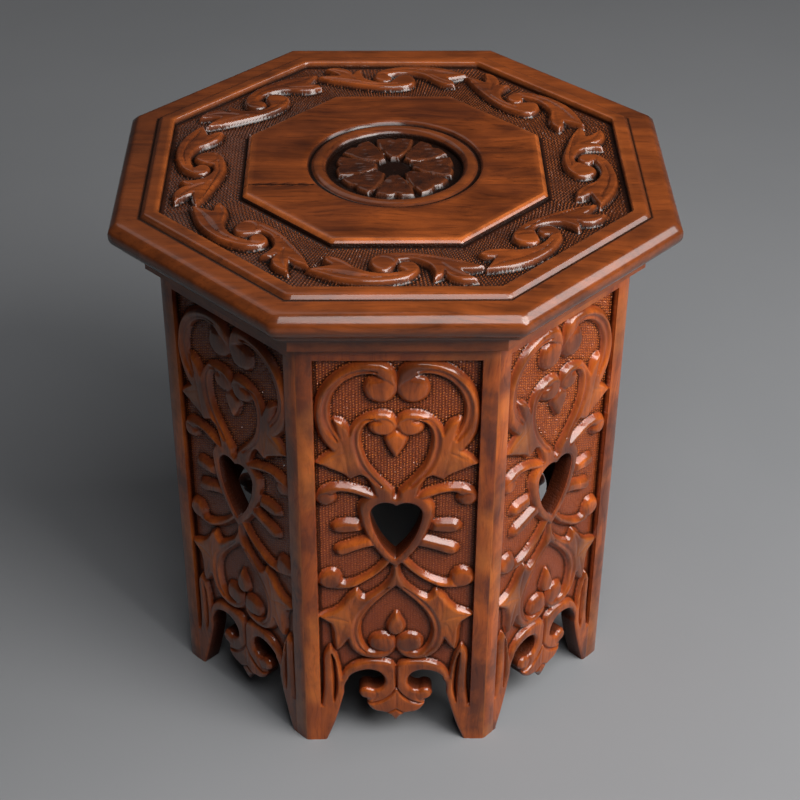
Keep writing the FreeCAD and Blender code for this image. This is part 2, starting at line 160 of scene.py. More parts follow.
# %% Pierced outlines
def arc_points(start, on_the_way, end, steps=10):
    """Places along the arc through three points."""
    a, b, c = (complex(*q) for q in (start, on_the_way, end))
    w = (c - a) / (b - a)
    middle = (b - a) * (w - abs(w) ** 2) / (2j * w.imag) + a
    turn = np.angle((c - middle) / (a - middle))
    half = np.angle((b - middle) / (a - middle))
    if turn * half < 0 or abs(half) > abs(turn):
        turn -= math.copysign(2 * math.pi, turn)
    swing = np.exp(1j * turn * np.linspace(0, 1, steps, endpoint=False))
    q = middle + (a - middle) * swing
    return np.stack([q.real, q.imag], 1)


def half_outline(start, arcs, half_width, height, foot):
    """Half of an outline whose arcs are given as shares of its half width and height."""
    size = np.array([half_width, height])
    runs, here = [], np.array(start) * size
    for on_the_way, end in arcs:
        runs.append(arc_points(here, np.array(on_the_way) * size, np.array(end) * size))
        here = np.array(end) * size
    return np.vstack(runs + [here[None]]) + (0, foot)


def mirrored(half):
    """A closed outline from its right half."""
    return np.vstack([half, half[::-1] * (-1, 1)])


ARCH_HALF_SPAN, ARCH_HEIGHT = 50.77, 70.5
ARCH_ARCS = (((0.845, 0.36), (0.733, 0.695)), ((0.615, 0.935), (0.395, 1.0)),
             ((0.225, 0.95), (0.165, 0.85)), ((0.205, 0.755), (0.335, 0.715)),
             ((0.520, 0.690), (0.420, 0.580)), ((0.395, 0.465), (0.255, 0.385)),
             ((0.085, 0.335), (0.0, 0.235)))
HEART_HALF_WIDTH, HEART_HEIGHT, HEART_TIP = 18.0, 50.0, 177.9
RING_WIDTH, RING_TIP_DROP = 7.0, 8.0
HEART_START = (0, 0.95)
HEART_ARCS = (((0.52, 1.0), (0.98, 0.80)), ((0.73, 0.40), (0.0, 0.0)))
BELOW_FEET = -20.0

arch_half = half_outline((1, 0), ARCH_ARCS, ARCH_HALF_SPAN, ARCH_HEIGHT, 0)
arch_foot = [(-ARCH_HALF_SPAN, BELOW_FEET), (ARCH_HALF_SPAN, BELOW_FEET)]
arch_outline = np.vstack([mirrored(arch_half), arch_foot])
heart_outline = mirrored(half_outline(HEART_START, HEART_ARCS, HEART_HALF_WIDTH, HEART_HEIGHT, HEART_TIP))
ring_outline = mirrored(half_outline(HEART_START, HEART_ARCS, HEART_HALF_WIDTH + RING_WIDTH,
                                     HEART_HEIGHT + RING_WIDTH + RING_TIP_DROP, HEART_TIP - RING_TIP_DROP))
print("outline points: arch", len(arch_outline), "heart", len(heart_outline))

# %% [markdown]
# ## The carving of a panel
# All eight panels carry the same drawing, alike on both sides of the middle line, so only the
# right half is written down. From the top: two C-scrolls with balls, a heart of two scrolls with
# spreading leaves round a bud, comma scrolls, the pierced heart in its raised ring with two fingers
# each side, stems with buds, an inverted heart with starry leaves, and the apron with the legs.

# %% Upper forms of the panel
C_SCROLL = (
    (42.5, 272),
    ((48.2, 280), (52, 290), (53.5, 303), (51, 317), (44.5, 329), (35, 337.5), (24, 342), (13, 343),
     (5, 339.5), (1.3, 332), (1, 322), (4.8, 315), (11, 312.8), (17.5, 315.5), (20, 322.5),
     (17.5, 329.5), (10, 331.8)),
    ((14, 334.8), (20, 335.5), (28, 333.5), (36, 328.5), (42.5, 320), (46, 309), (45.8, 298),
     (43, 290), (38.5, 283.5)),
    ((33, 277),),
    ((42.5, 272),),
)
HEART_SCROLL = (
    (31.5, 286.5),
    ((28.5, 292), (23.5, 298), (17, 302), (10, 303.3), (4, 301.5), (0.9, 296.5), (1, 291.5),
     (4, 287.3), (9, 285.9), (14.5, 287.5), (17, 291), (16, 295), (11, 297.2)),
    ((16, 297.8), (21, 294.8), (24.3, 289), (25.3, 281), (24, 271.5), (20.3, 261), (13.5, 250.5),
     (7.5, 243), (3, 237.5)),
    ((2, 231),),
    ((13, 231),),
    ((14.5, 238),),
    ((16, 243.5), (19.5, 249.5), (24, 252)),
    ((27, 250.5), (31, 248.3)),
    ((34, 251.5), (37.2, 253.6)),
    ((43, 256.5), (49.5, 260), (53.8, 262)),
    ((48, 267), (42.5, 272)),
    ((38.5, 283.5),),
    ((40, 289.5), (41.5, 297.5)),
    ((37, 296), (33.8, 292), (31.5, 286.5)),
)
UPPER_BUD = (
    (0, 289),
    ((4.5, 286.5), (6.8, 282.5), (5, 277), (2, 271), (0, 267.8)),
    ((-2, 271), (-5, 277), (-6.8, 282.5), (-4.5, 286.5), (0, 289)),
)

# %% Middle forms of the panel
COMMA = (
    (14, 229.5),
    ((15, 234.5),),
    ((22, 237.5), (30, 240.3), (38, 241.6), (45, 241), (50.5, 238), (53.4, 233), (52.5, 228.5),
     (48.5, 226), (44, 227.3), (42, 231), (43.5, 234.6)),
    ((38.5, 237.5), (30, 236.2), (22, 233), (14, 229.5)),
)
UPPER_FINGER = (
    (26, 209),
    ((33, 209.8), (39.5, 209.2), (42.6, 206.3), (41.3, 202.8), (35.5, 201.6), (25, 202.8)),
    ((26, 209),),
)
LOWER_FINGER = (
    (17.5, 196),
    ((24, 193.8), (31, 191.2), (38, 188.8), (41, 186), (40, 182.4), (36, 181.8), (28, 185.2),
     (20.5, 188), (14.5, 189.5)),
    ((17.5, 196),),
)
STEM = (
    (3, 181),
    ((8.3, 173), (13.5, 166.5), (20, 161.3), (28, 156.6), (35, 154.8), (38.6, 157), (39.8, 162),
     (43.5, 166), (49, 165), (53, 160.5), (52.8, 155.5), (48.5, 151.8), (42.5, 150.8), (36, 150.6),
     (29, 152), (21.5, 156.8), (14.5, 162.3), (8, 169), (2, 177)),
    ((3, 181),),
)

# %% Lower forms of the panel
LOWER_HEART = (
    (-1, 172),
    ((1, 166.5), (2, 161.5), (4.6, 156), (9, 150), (15, 144.5), (21.5, 140.5)),
    ((25, 142.5), (27.5, 147)),
    ((32.5, 142), (36.5, 135.5), (42, 130), (48, 127), (54, 124.5)),
    ((49.5, 120.5), (45.5, 117), (43.8, 110), (43.5, 101), (42, 91.5)),
    ((38.5, 95), (35.5, 100), (34, 103)),
    ((32.5, 97), (29, 90), (23.5, 85.3), (16, 83.3), (8.5, 84.2), (3, 88.5), (1.2, 96),
     (3, 102.5), (9, 105.3), (15.5, 103), (17.6, 97), (15.5, 91.8), (9.5, 90)),
    ((15, 88.6), (20, 90.5), (23.8, 95.5), (26, 102), (27, 110), (25.8, 118.5), (22, 127),
     (16.5, 135), (9, 143.5), (3.5, 149.5), (-1, 154)),
    ((-1, 172),),
)
LOWER_BUD = (
    (0, 125.5),
    ((3.2, 119.5), (5.2, 113.5), (4, 108.5), (0, 106.3), (-4, 108.5), (-5.2, 113.5), (-3.2, 119.5),
     (0, 125.5)),
)
APRON = (
    (-1, 72.5),
    ((4, 78), (12, 80), (22, 79.5), (30, 76), (36, 69.5), (38.8, 63)),
    ((41, 76), (43.2, 86), (47, 94)),
    ((50.8, 86), (51, 70), (51.5, 52), (53.4, 36)),
    ((53.4, 30),),
    ((-1, 30),),
    ((-1, 72.5),),
)
FEET = ((-1, -3), ((57, -3),), ((57, 35.2),), ((-1, 35.2),), ((-1, -3),))

# %% [markdown]
# The faces of the forms are not quite flat. A gouge has run along the inner half of each scroll,
# the leaves have soft veins, the scrolls end in balls that stand out like beads, and grooves part
# the curls of the pendant and the two ridges of a leg.

# %% Modelling of the forms
PANEL_FORMS = (  # outline, how far in its edge is rounded, and how far out its wall runs
    (C_SCROLL, 2.3, 2.4), (HEART_SCROLL, 2.1, 2.4), (UPPER_BUD, 3.0, 2.2), (COMMA, 2.0, 2.6),
    (UPPER_FINGER, 2.2, 2.8), (LOWER_FINGER, 2.2, 2.8), (STEM, 2.0, 2.6), (LOWER_HEART, 2.1, 2.4),
    (LOWER_BUD, 2.6, 2.2), (APRON, 3.0, 1.3), (FEET, 2.0, 1.3))
PANEL_HOLLOWS = (  # depth, then points with half widths
    (1.7, ((13, 337, 1.2), (21, 337.4, 2.3), (29.5, 335.2, 2.6), (37.4, 330, 2.7), (44.2, 321.3, 2.8),
           (48, 310, 2.8), (48, 299.5, 2.8), (45.2, 290, 2.6), (40, 281, 1.0))),
    (1.7, ((15, 299.6, 1.0), (22.5, 297, 2.2), (26.8, 290, 2.6), (28, 281, 2.8), (26.6, 271, 2.8),
           (22.8, 260, 2.8), (16, 249.5, 2.6), (9.6, 242, 1.2))),
    (1.4, ((21, 88.6, 0.8), (26, 94.5, 2.0), (28.6, 101.5, 2.4), (29.6, 110, 2.6), (28.4, 119, 2.6),
           (24.4, 128.5, 2.6), (18.6, 136.6, 2.5), (11, 145, 2.0), (5, 151.5, 0.8))),
    (0.35, ((37, 281, 1.0), (35, 270, 2.4), (31.6, 252, 0.6))),
    (0.35, ((36, 271, 1.2), (44, 266.8, 2.0), (51, 263.2, 0.5))),
    (0.35, ((32, 120, 1.0), (32, 131, 2.2), (28, 144, 0.6))),
    (0.35, ((34, 120, 1.0), (42, 123, 2.2), (51, 124.2, 0.5))),
    (0.35, ((36, 116, 1.0), (39, 106, 2.2), (41.4, 94, 0.5))),
    (4.2, ((46, 88, 0.4), (44.4, 78, 2.2), (43.6, 64, 2.6), (43.8, 50, 2.4), (44.8, 39, 0.4))),
    (2.6, ((0, 80, 1.6), (0, 66, 1.8), (0, 52, 1.2))),
    (2.2, ((0, 53, 0.8), (4.6, 45, 1.6), (11, 39.4, 2.0), (18, 37, 1.8), (23, 38.5, 0.8))),
    (1.6, ((0, 31, 0.5), (4, 28, 1.3), (8.5, 25.5, 0.7))),
)
PANEL_BALLS = (  # across, up and radius
    (10.6, 322.2, 9.6), (9, 292.2, 7.8), (47.8, 231.2, 5.4), (46.2, 158.4, 7.8), (9.4, 97.6, 8.0),
    (21, 46, 7.0))


def stroke_share(at, points):
    """How deep in a stroke each place lies: 1 on its middle line, 0 at its edge and beyond."""
    line = smooth_line(points)
    reach = line[:, 2].max()
    near = ((at > line[:, :2].min(0) - reach) & (at < line[:, :2].max(0) + reach)).all(1)
    p = at[near]
    best = np.zeros(len(p))
    for a, b in zip(line[:-1], line[1:]):
        gap, part = gap_to_run(p, a[:2], b[:2])
        best = np.maximum(best, 1 - gap / (a[2] + part * (b[2] - a[2])).clip(0.1))
    share = np.zeros(len(at))
    share[near] = 0.5 - 0.5 * np.cos(math.pi * best)
    return share


def ball_drop(at, balls, drop=0.9):
    """How far a ball's face falls away from its middle, with a soft lap where it meets its scroll."""
    fall = np.zeros(len(at))
    for across, up, radius in balls:
        share = np.hypot(at[:, 0] - across, at[:, 1] - up) / radius
        lap = ((1.08 - share) / 0.12).clip(0, 1)
        fall = np.maximum(fall, drop * share.clip(0, 1) ** 3 * lap)
    return fall


print("forms on half a panel:", len(PANEL_FORMS))

# %% [markdown]
# ## One master drawing
# The relief is worked out once on a fine grid: how far each place lies inside the carving, how
# high the wood stands there, and how far it is from the pierced outlines. The walls lean back and
# the edges are rounded, as a gouge and years of polishing leave them. The eight panels then only
# look these values up, each with its own small unevenness of hand work.

# %% Relief from outlines
EDGE_HEIGHT, FACE_HEIGHT = 3.6, 4.85
DRAWN_STEP = 0.35
PENDANT_HALF = 34.0


class Drawing:
    """Values on a fine flat grid, looked up anywhere by blending the four nearest."""

    def __init__(self, low, high, step):
        self.low, self.step = np.array(low, float), step
        self.count = np.ceil((np.array(high) - low) / step).astype(int) + 1
        a, b = np.meshgrid(np.arange(self.count[0]), np.arange(self.count[1]), indexing="ij")
        self.at = self.low + step * np.stack([a.ravel(), b.ravel()], 1)
        self.layers = {}

    def keep(self, name, values):
        self.layers[name] = values.reshape(self.count)

    def look(self, name, at):
        layer = self.layers[name]
        q = ((at - self.low) / self.step).clip(0, self.count - 1.001)
        i = q.astype(int)
        f = q - i
        a, b = i.T
        return ((layer[a, b] * (1 - f[:, 0]) + layer[a + 1, b] * f[:, 0]) * (1 - f[:, 1])
                + (layer[a, b + 1] * (1 - f[:, 0]) + layer[a + 1, b + 1] * f[:, 0]) * f[:, 1])


def raised(inside, reach, run, edge=EDGE_HEIGHT, face=FACE_HEIGHT):
    """Height over the ground: a wall that leans back, a rounded edge and a level face."""
    wall = edge * (1 + inside / run).clip(0, 1)
    rounded = edge + (face - edge) * (1 - (1 - inside / reach).clip(0, 1) ** 2)
    return np.where(inside > 0, rounded, wall)


def eased(gap, drop, width):
    """How far an edge is rounded off, by the distance from it."""
    return drop * (1 - gap / width).clip(0, 1) ** 2


def carve(at, outlines):
    """How far inside the carving, and how high, for outlines that each have a rounding and a wall."""
    inside = np.full(len(at), -50.0)
    height = np.zeros(len(at))
    for outline, reach, run in outlines:
        depth_in = inside_form(at, outline)
        inside = np.maximum(inside, depth_in)
        height = np.maximum(height, raised(depth_in, reach, run))
    return inside, height


# %% Master drawing of the panel
panel = Drawing((-1.4, -1.4), (PANEL_HALF + 1, 350), DRAWN_STEP)
outlines = [(ring_outline, 2.0, 2.4)]
for form, reach, run in PANEL_FORMS:
    outlines += [(form_outline(form), reach, run), (form_outline(form) * (-1, 1), reach, run)]
inside, height = carve(panel.at, outlines)
for depth, points in PANEL_HOLLOWS:
    height -= depth * stroke_share(panel.at, points)
height -= ball_drop(panel.at, PANEL_BALLS) * (inside > 0)
arch_gap = outside_outline(panel.at, arch_outline)
heart_gap = outside_outline(panel.at, heart_outline)
cut_gap = np.minimum(arch_gap, heart_gap)
height -= eased(arch_gap, 1.7, 3.4) * (panel.at[:, 0] < PENDANT_HALF)
height -= eased(cut_gap, 0.9, 1.8)
panel.keep("inside", inside)
panel.keep("height", height.clip(0, None))
panel.keep("wood", cut_gap)
print("master drawing:", panel.count, "places, highest", round(height.max(), 2), "mm")

# %% [markdown]
# ## Panel meshes
# A panel starts as a flat grid of about 0.7 mm. Points near a pierced outline or near the edge of
# the carving are moved exactly onto it, so that every edge is clean, then each point is lifted to
# its height. On the sunk ground every third point stands proud: those are the dots that the punch
# leaves, about 2 mm apart. Lower down on the panel they are worn flatter.

# %% Helpers for the relief
CELL = 0.7
SUNK_EDGE = EDGE_HEIGHT - 1.2
DOT_STRAY = 0.28


def fold(at):
    """Places of the left half, looked up on the right half."""
    return np.stack([np.abs(at[:, 0]), at[:, 1]], 1)


def moved_onto(value_at, at, reach):
    """Move the places within reach of a zero line onto it, and say which ones moved."""
    close = np.where(np.abs(value_at(at)) < reach)[0]
    for _ in range(2):
        p = at[close]
        slope = np.stack([value_at(p + way) - value_at(p - way) for way in np.eye(2) * 0.3], 1) / 0.6
        step = -value_at(p)[:, None] * slope / (slope ** 2).sum(1).clip(0.2)[:, None]
        at[close] += step.clip(-reach, reach)
    return close


def softened(values, shape, times=2):
    """Values evened out over a grid, to find which places lie low or high among their neighbours."""
    v = values.reshape(shape)
    for _ in range(times):
        wide = np.pad(v, 3, mode="edge")
        total = np.cumsum(np.pad(wide, ((1, 0), (0, 0))), 0)
        wide = (total[7:] - total[:-7]) / 7
        total = np.cumsum(np.pad(wide, ((0, 0), (1, 0))), 1)
        v = (total[:, 7:] - total[:, :-7]) / 7
    return v.ravel()


def waver(at, seed, size):
    """The small unevenness of hand work: slow waves in both directions."""
    rng = np.random.default_rng(seed)
    out = np.zeros_like(at)
    for length in (150, 70, 34):
        for way in (0, 1):
            turn, start = rng.uniform(0, 2 * math.pi, 2)
            run = at @ (math.cos(turn), math.sin(turn))
            out[:, way] += size * length / 150 * np.sin(2 * math.pi / length * run + start)
    return out


def punched(height, column, row, seed, kept=1.0):
    """Dots between the punch marks on the low ground, as far as they are kept there."""
    rng = np.random.default_rng(seed)
    dot = (column % 3 == 0) & ((row + (column // 3) % 2) % 3 == 0)
    marks = np.where(dot, 0.4 + 0.6 * rng.random(len(height)), -0.15 - 0.15 * rng.random(len(height)))
    share = (1 - height / 1.2).clip(0, 1) * kept
    return height + marks * share, dot * share


# %% Grid of a panel
WORN_UP, KEPT_UP = 70.0, 260.0

columns = np.concatenate([[-PANEL_HALF, -65.2, -61, -56, -STILE_EDGE], np.linspace(-54.6, 54.6, 157),
                          [STILE_EDGE, 56, 61, 65.2, PANEL_HALF]])
rows = np.concatenate([np.linspace(0, FIELD_TOP - 0.35, 495),
                       [FIELD_TOP, FIELD_TOP + 1, 356, 366, TOP_UNDERSIDE]])
panel_shape = len(columns), len(rows)
grid = np.stack([q.ravel() for q in np.meshgrid(columns, rows, indexing="ij")], 1)
grid_column, grid_row = np.divmod(np.arange(len(grid)), len(rows))
on_frame = (np.abs(grid[:, 0]) > STILE_EDGE - 0.1) | (grid[:, 1] > FIELD_TOP - 0.1)
held = on_frame | (grid[:, 1] < 0.1)


def panel_relief(side):
    """Places, heights, dots and distance from the pierced outlines for the grid of one panel."""
    uneven = waver(grid, 40 + side, 0.45) * (1 - held)[:, None]
    drawn = grid + uneven
    on_cut = moved_onto(lambda at: panel.look("wood", fold(at)), drawn, CELL * 0.51)
    fixed = held.copy()
    fixed[on_cut] = True
    before = drawn.copy()
    on_edge = moved_onto(lambda at: panel.look("inside", fold(at)), drawn, CELL * 0.5)
    drawn[fixed] = before[fixed]
    shift = drawn - uneven - grid
    fixed[on_cut] = False
    shift[fixed] = 0
    wood = panel.look("wood", fold(drawn))
    wood[on_cut] = 0
    height = panel.look("height", fold(drawn))
    height[on_edge] = np.maximum(height[on_edge], SUNK_EDGE)
    kept = ((grid[:, 1] - WORN_UP) / (KEPT_UP - WORN_UP)).clip(0.2, 1)
    height, dot = punched(height, grid_column, grid_row, 7 + side, kept)
    loose = (height < 0.9) & ~held & (wood > 1)
    shift += np.random.default_rng(side).uniform(-DOT_STRAY, DOT_STRAY, shift.shape) * loose[:, None]
    height = np.where(on_frame, GROUND_DEPTH, height)
    height[np.isclose(np.abs(grid[:, 0]), STILE_EDGE) & (grid[:, 1] < FIELD_TOP)] = GROUND_DEPTH - 0.3
    height[np.isclose(np.abs(grid[:, 0]), PANEL_HALF)] = GROUND_DEPTH - 0.5
    return grid + shift, height, dot * ~on_frame, wood


# %% [markdown]
# The faces of the grid that lie over a pierced outline are left out. What is left has one outer rim
# and one rim round the heart. Both are carried back to the inner face of the board and closed
# there, so that each panel is a whole board, mitred at both edges.

# %% Faces of a panel
MITRE_START = 51.0


def kept_faces(wood):
    """Squares and corner triangles of the grid that lie in the wood."""
    index = np.arange(len(wood)).reshape(panel_shape)
    corners = index[:-1, :-1], index[1:, :-1], index[1:, 1:], index[:-1, 1:]
    quad = np.stack(corners, -1).reshape(-1, 4)
    state = np.sign(np.where(np.abs(wood) < 1e-6, 0, wood))[quad]
    whole = quad[(state >= 0).all(1) & (state > 0).any(1)]
    mixed = (state < 0).any(1) & (state > 0).any(1)
    thirds = [[q[(k - 1) % 4], q[k], q[(k + 1) % 4]] for q, s in zip(quad[mixed], state[mixed])
              for k in range(4) if s[k] > 0 and s[k - 1] == 0 and s[(k + 1) % 4] == 0]
    return whole, np.array(thirds).reshape(-1, 3)


def rim_loops(face_sets, count):
    """The loops of edges that belong to one face only, each as a list of points in order."""
    ends = np.vstack([np.stack([f[:, k], f[:, (k + 1) % f.shape[1]]], 1)
                      for f in face_sets for k in range(f.shape[1])])
    key = ends.min(1) * count + ends.max(1)
    _, first, times = np.unique(key, return_index=True, return_counts=True)
    after = {int(a): int(b) for a, b in ends[first[times == 1]]}
    loops = []
    while after:
        here = next(iter(after))
        loop = []
        while here in after:
            loop.append(here)
            here = after.pop(here)
        loops.append(loop)
    return loops


def inner_across(across):
    """Where a point of the rim lands on the inner face: the mitre draws the outer ones inwards."""
    span = np.abs(across)
    slope = (INNER_HALF - MITRE_START) / (PANEL_HALF - MITRE_START)
    return (span + (slope - 1) * (span - MITRE_START).clip(0)) * np.sign(across)


def back_faces(loops, at, count):
    """Walls from each rim to the inner face, and the inner face itself."""
    order = [v for loop in loops for v in loop]
    back_of = {v: count + k for k, v in enumerate(order)}
    walls = [(q, p, back_of[p], back_of[q])
             for loop in loops for p, q in zip(loop, loop[1:] + loop[:1])]
    flat = [[Vector((inner_across(at[v, 0]), at[v, 1], 0)) for v in loop] for loop in loops]
    places = sum(flat, [])
    inner = []
    for corners in geometry.tessellate_polygon(flat):
        a, b, c = (places[k] for k in corners)
        turned_over = (b - a).cross(c - a).z > 0
        ids = [count + k for k in corners]
        inner.append(tuple(ids[::-1] if turned_over else ids))
    return order, walls + inner


# %% [markdown]
# Each point also brings two values for the finish: how deep it lies, because stain gathers in the
# hollows, with painted shade added where it lies below its neighbours, between the punch dots, on the
# walls of the pierced outlines, on the inner face, on the top rail under the cornice and along the
# inner edges of the stiles; and how much it is rubbed, as on proud edges, on the tips of the dots, on
# two leaves that hands touch and in streaks along the stiles.

# %% Stain, painted shade and wear of a panel
RUBBED_LEAVES = ((40, 264, 12), (42, 122, 12))  # across, up and reach
SHADED_UP = 350.0


def stain_shade_and_wear(height, shape, hollow, proud, dot):
    """How deep each place of a carving lies in the stain, with painted shade where it lies below its
    neighbours, and how much it is rubbed.
    """
    low = softened(height, shape)
    # Painted shade: places that lie below their softened neighbours are darkened, in creases and at the feet
    # of walls.
    depth = ((GROUND_DEPTH - height) / GROUND_DEPTH).clip(0, 1) + hollow * (low - height).clip(0, 2)
    return depth, np.maximum((proud * (height - low)).clip(0, 1) * (height > 2), dot)


def panel_finish(side, height, dot, wood):
    """Stain, painted shade and wear of a panel, with its rubbed leaves, its stiles, and painted shade on its
    top rail, at the inner edges of its stiles and on its cut edges.
    """
    depth, wear = stain_shade_and_wear(height, panel_shape, 0.4, 0.12, dot)
    for across, up, reach in RUBBED_LEAVES:
        away = np.hypot(np.abs(grid[:, 0]) - across, grid[:, 1] - up)
        wear = np.maximum(wear, 0.35 * np.exp(-(away / reach) ** 2) * (height > 3.5))
    span, up = np.abs(grid[on_frame, 0]), grid[on_frame, 1]
    streaks = waver(grid[on_frame], 60 + side, 0.3).sum(1).clip(0, 0.3)
    wear[on_frame] = 0.3 * np.isclose(span, PANEL_HALF) + streaks
    # Painted shade: the top rail under the cornice and the inner edges of the stiles are darkened.
    depth[on_frame] = 0.05 + 0.7 * (up > SHADED_UP) + 0.35 * (span < STILE_EDGE + 0.1)
    # Painted shade on the sunk ground between the punch dots.
    depth += 0.2 * (height < 0.5) * (1 - dot)
    # Painted shade on the walls of the pierced outlines, dark enough to go nearly black.
    depth[np.abs(wood) < 1e-6] = 1.45
    return depth, wear


# %% Panels
SHARP = math.radians(58)
NEXT_BOARD = 300.0


def keep_mesh(name, places, faces, layers):
    """A mesh piece from places in metres, with named values for its material."""
    mesh = bpy.data.meshes.new(name)
    mesh.from_pydata(places, [], faces)
    for title, values in layers.items():
        kind, field = ("FLOAT_VECTOR", "vector") if values.ndim == 2 else ("FLOAT", "value")
        layer = mesh.attributes.new(title, kind, "POINT")
        layer.data.foreach_set(field, values.astype(np.float32).ravel())
    mesh.shade_smooth()
    mesh.set_sharp_from_angle(angle=SHARP)
    piece = bpy.data.objects.new(name, mesh)
    scene.collection.objects.link(piece)
    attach(piece, "root")
    return piece


def to_side(across, out, up, side):
    """Places on a side of the octagon, in metres: side 1 faces the front."""
    turn = 2 * math.pi / SIDES * (side - 1)
    x = across * math.cos(turn) + out * math.sin(turn)
    y = across * math.sin(turn) - out * math.cos(turn)
    return np.stack([x, y, up], 1) * MM


def make_panel(side):
    """One carved panel, closed to a whole board."""
    at, height, dot, wood = panel_relief(side)
    depth, wear = panel_finish(side, height, dot, wood)
    whole, thirds = kept_faces(wood)
    used = np.unique(np.concatenate([whole.ravel(), thirds.ravel()]))
    new = np.full(len(at), -1)
    new[used] = np.arange(len(used))
    whole, thirds, at, out = new[whole], new[thirds], at[used], GROUND_OUT + height[used]
    order, closing = back_faces(rim_loops([whole, thirds], len(used)), at, len(used))
    across = np.concatenate([at[:, 0], inner_across(at[order, 0])])
    up = np.concatenate([at[:, 1], at[order, 1]])
    out = np.concatenate([out, np.full(len(order), INNER_OUT)])
    # The inner face of the board is painted nearly black as shade.
    layers = {"depth": np.concatenate([depth[used], np.full(len(order), 1.8)]),
              "wear": np.concatenate([wear[used], np.zeros(len(order))]),
              "board": np.stack([up, across + NEXT_BOARD * side, out], 1) * MM}
    faces = whole.tolist() + thirds.tolist() + closing
    places = to_side(across, out, up, side)
    piece = keep_mesh(f"carved_panel_{side}", places, faces, layers)
    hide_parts(f"side_panel_{side}")
    return piece


panels = [make_panel(side) for side in range(1, SIDES + 1)]
print("panels:", len(panels), "faces each about", len(panels[0].data.polygons))

# %% [markdown]
# ## The carving of the top
# Between the raised rim and the raised middle of the top runs a sunk band. On each of its eight
# sides lies one pair of interlocking commas: a lower one with a forked leaf at its left, and an
# upper one that ends at its right in a leaf with three tips. One side is written down, in
# millimetres along the side and out from the foot of the raised middle, and it is turned round to
# the other seven.

# %% Forms of the sunk band
MIDDLE_OUT, BAND_OUT, BAND_FLOOR = 103.5, 157.5, 397.0
LOWER_COMMA = (
    (-57, 33),
    ((-50, 37.8), (-40, 43.5), (-30, 46.8), (-20, 48), (-9, 47.5), (1.5, 44.8), (8.5, 40.8),
     (12.8, 34.5), (13.3, 29), (10.3, 25), (5, 24), (1.2, 26.5), (0.8, 31), (4.5, 34.8)),
    ((-3, 37.3), (-11, 37.8), (-19, 35.8), (-26, 31.3), (-31.5, 24.5), (-38, 19), (-46.5, 17.5)),
    ((-45.8, 22.5), (-41.5, 27.8)),
    ((-48, 29.8), (-57, 33)),
)
UPPER_COMMA = (
    (1.5, 22),
    ((-1, 27), (-4.5, 32.3), (-9, 34.8), (-14, 32.5), (-17, 26.5), (-16, 20.3), (-10.5, 15.8),
     (-2, 13.8), (8, 13.7), (18, 15.5), (29, 18.8), (42, 23.5), (55.5, 30.3)),
    ((47, 32.8), (39.5, 33.1)),
    ((43, 38), (50, 44.3)),
    ((43, 46.1), (36, 44.5), (31, 40), (29.3, 35)),
    ((28, 39.5), (23.3, 42.8)),
    ((22.8, 35.5), (20.5, 29), (15, 24), (8, 21.3), (1.5, 22)),
)
BAND_HOLLOWS = (
    (0.5, ((-20, 42, 1.5), (-34, 38, 3.4), (-52, 33.6, 0.6))),
    (0.5, ((-28, 33, 1.2), (-36, 25, 2.4), (-44, 19.5, 0.6))),
    (0.5, ((24, 22, 1.2), (38, 25.5, 3.0), (52, 29.6, 0.6))),
    (0.5, ((28, 27, 1.2), (35, 36.5, 3.0), (46, 43, 0.6))),
    (0.8, ((-46, 34, 0.5), (-30, 40.5, 0.9), (-14, 43, 0.9), (0, 41, 0.5))),
    (0.8, ((46, 26.5, 0.5), (28, 21.5, 0.9), (12, 18, 0.9), (-4, 18.5, 0.5))),
)
BAND_BALLS = ((6.8, 30, 6.6), (-9.2, 27, 7.8))


def turned_side(points, steps):
    """The same points on another side of the band, some steps round."""
    points = np.array(points, float)
    turn = steps * 2 * math.pi / SIDES
    along, out = points[:, 0], points[:, 1] + MIDDLE_OUT
    swung = np.stack([along * math.cos(turn) + out * math.sin(turn),
                      out * math.cos(turn) - along * math.sin(turn)], 1)
    return np.hstack([swung, points[:, 2:]])


band = Drawing((-68, 99), (68, 160), DRAWN_STEP)
ways = (-1, 0, 1)
inside, height = carve(band.at, [(turned_side(form_outline(form), way), 1.3, 1.5)
                                 for way in ways for form in (LOWER_COMMA, UPPER_COMMA)])
for way in ways:
    for depth, points in BAND_HOLLOWS:
        height -= depth * stroke_share(band.at, turned_side(points, way))
    height -= ball_drop(band.at, turned_side(BAND_BALLS, way), 0.5) * (inside > 0)
band.keep("inside", inside)
band.keep("height", height.clip(0, None))
print("band drawing:", band.count, "places, highest", round(height.max(), 2), "mm")

# %% [markdown]
# ## The rosette
# In the middle of the top a round field is sunk inside a turned bead. Eight broad petals fill it,
# parted by narrow slots that widen at both ends, round an open eye. Each petal ends in two lobes.

# %% Height of the rosette
ROSETTE_FLOOR, ROSETTE_HEIGHT, ROSETTE_FIELD = 396.0, 4.2, 46.0
SLOT_TURN = math.radians(22)


def inside_rosette(at):
    """How far each place lies inside a petal of the rosette."""
    away = np.hypot(*at.T)
    step = 2 * math.pi / SIDES
    from_slot = (np.arctan2(at[:, 1], at[:, 0]) - SLOT_TURN + step / 2) % step - step / 2
    from_middle = step / 2 - np.abs(from_slot)
    slot = 0.5 + 1.8 * np.exp(-((away - 13) / 4) ** 2) + 2.4 * ((away - 27) / 13).clip(0, 1) ** 2
    end = 40.6 - 2.4 * np.exp(-(from_middle / 0.07) ** 2)
    return np.minimum(np.minimum(end - away, away - 12.5), np.abs(away * np.sin(from_slot)) - slot)


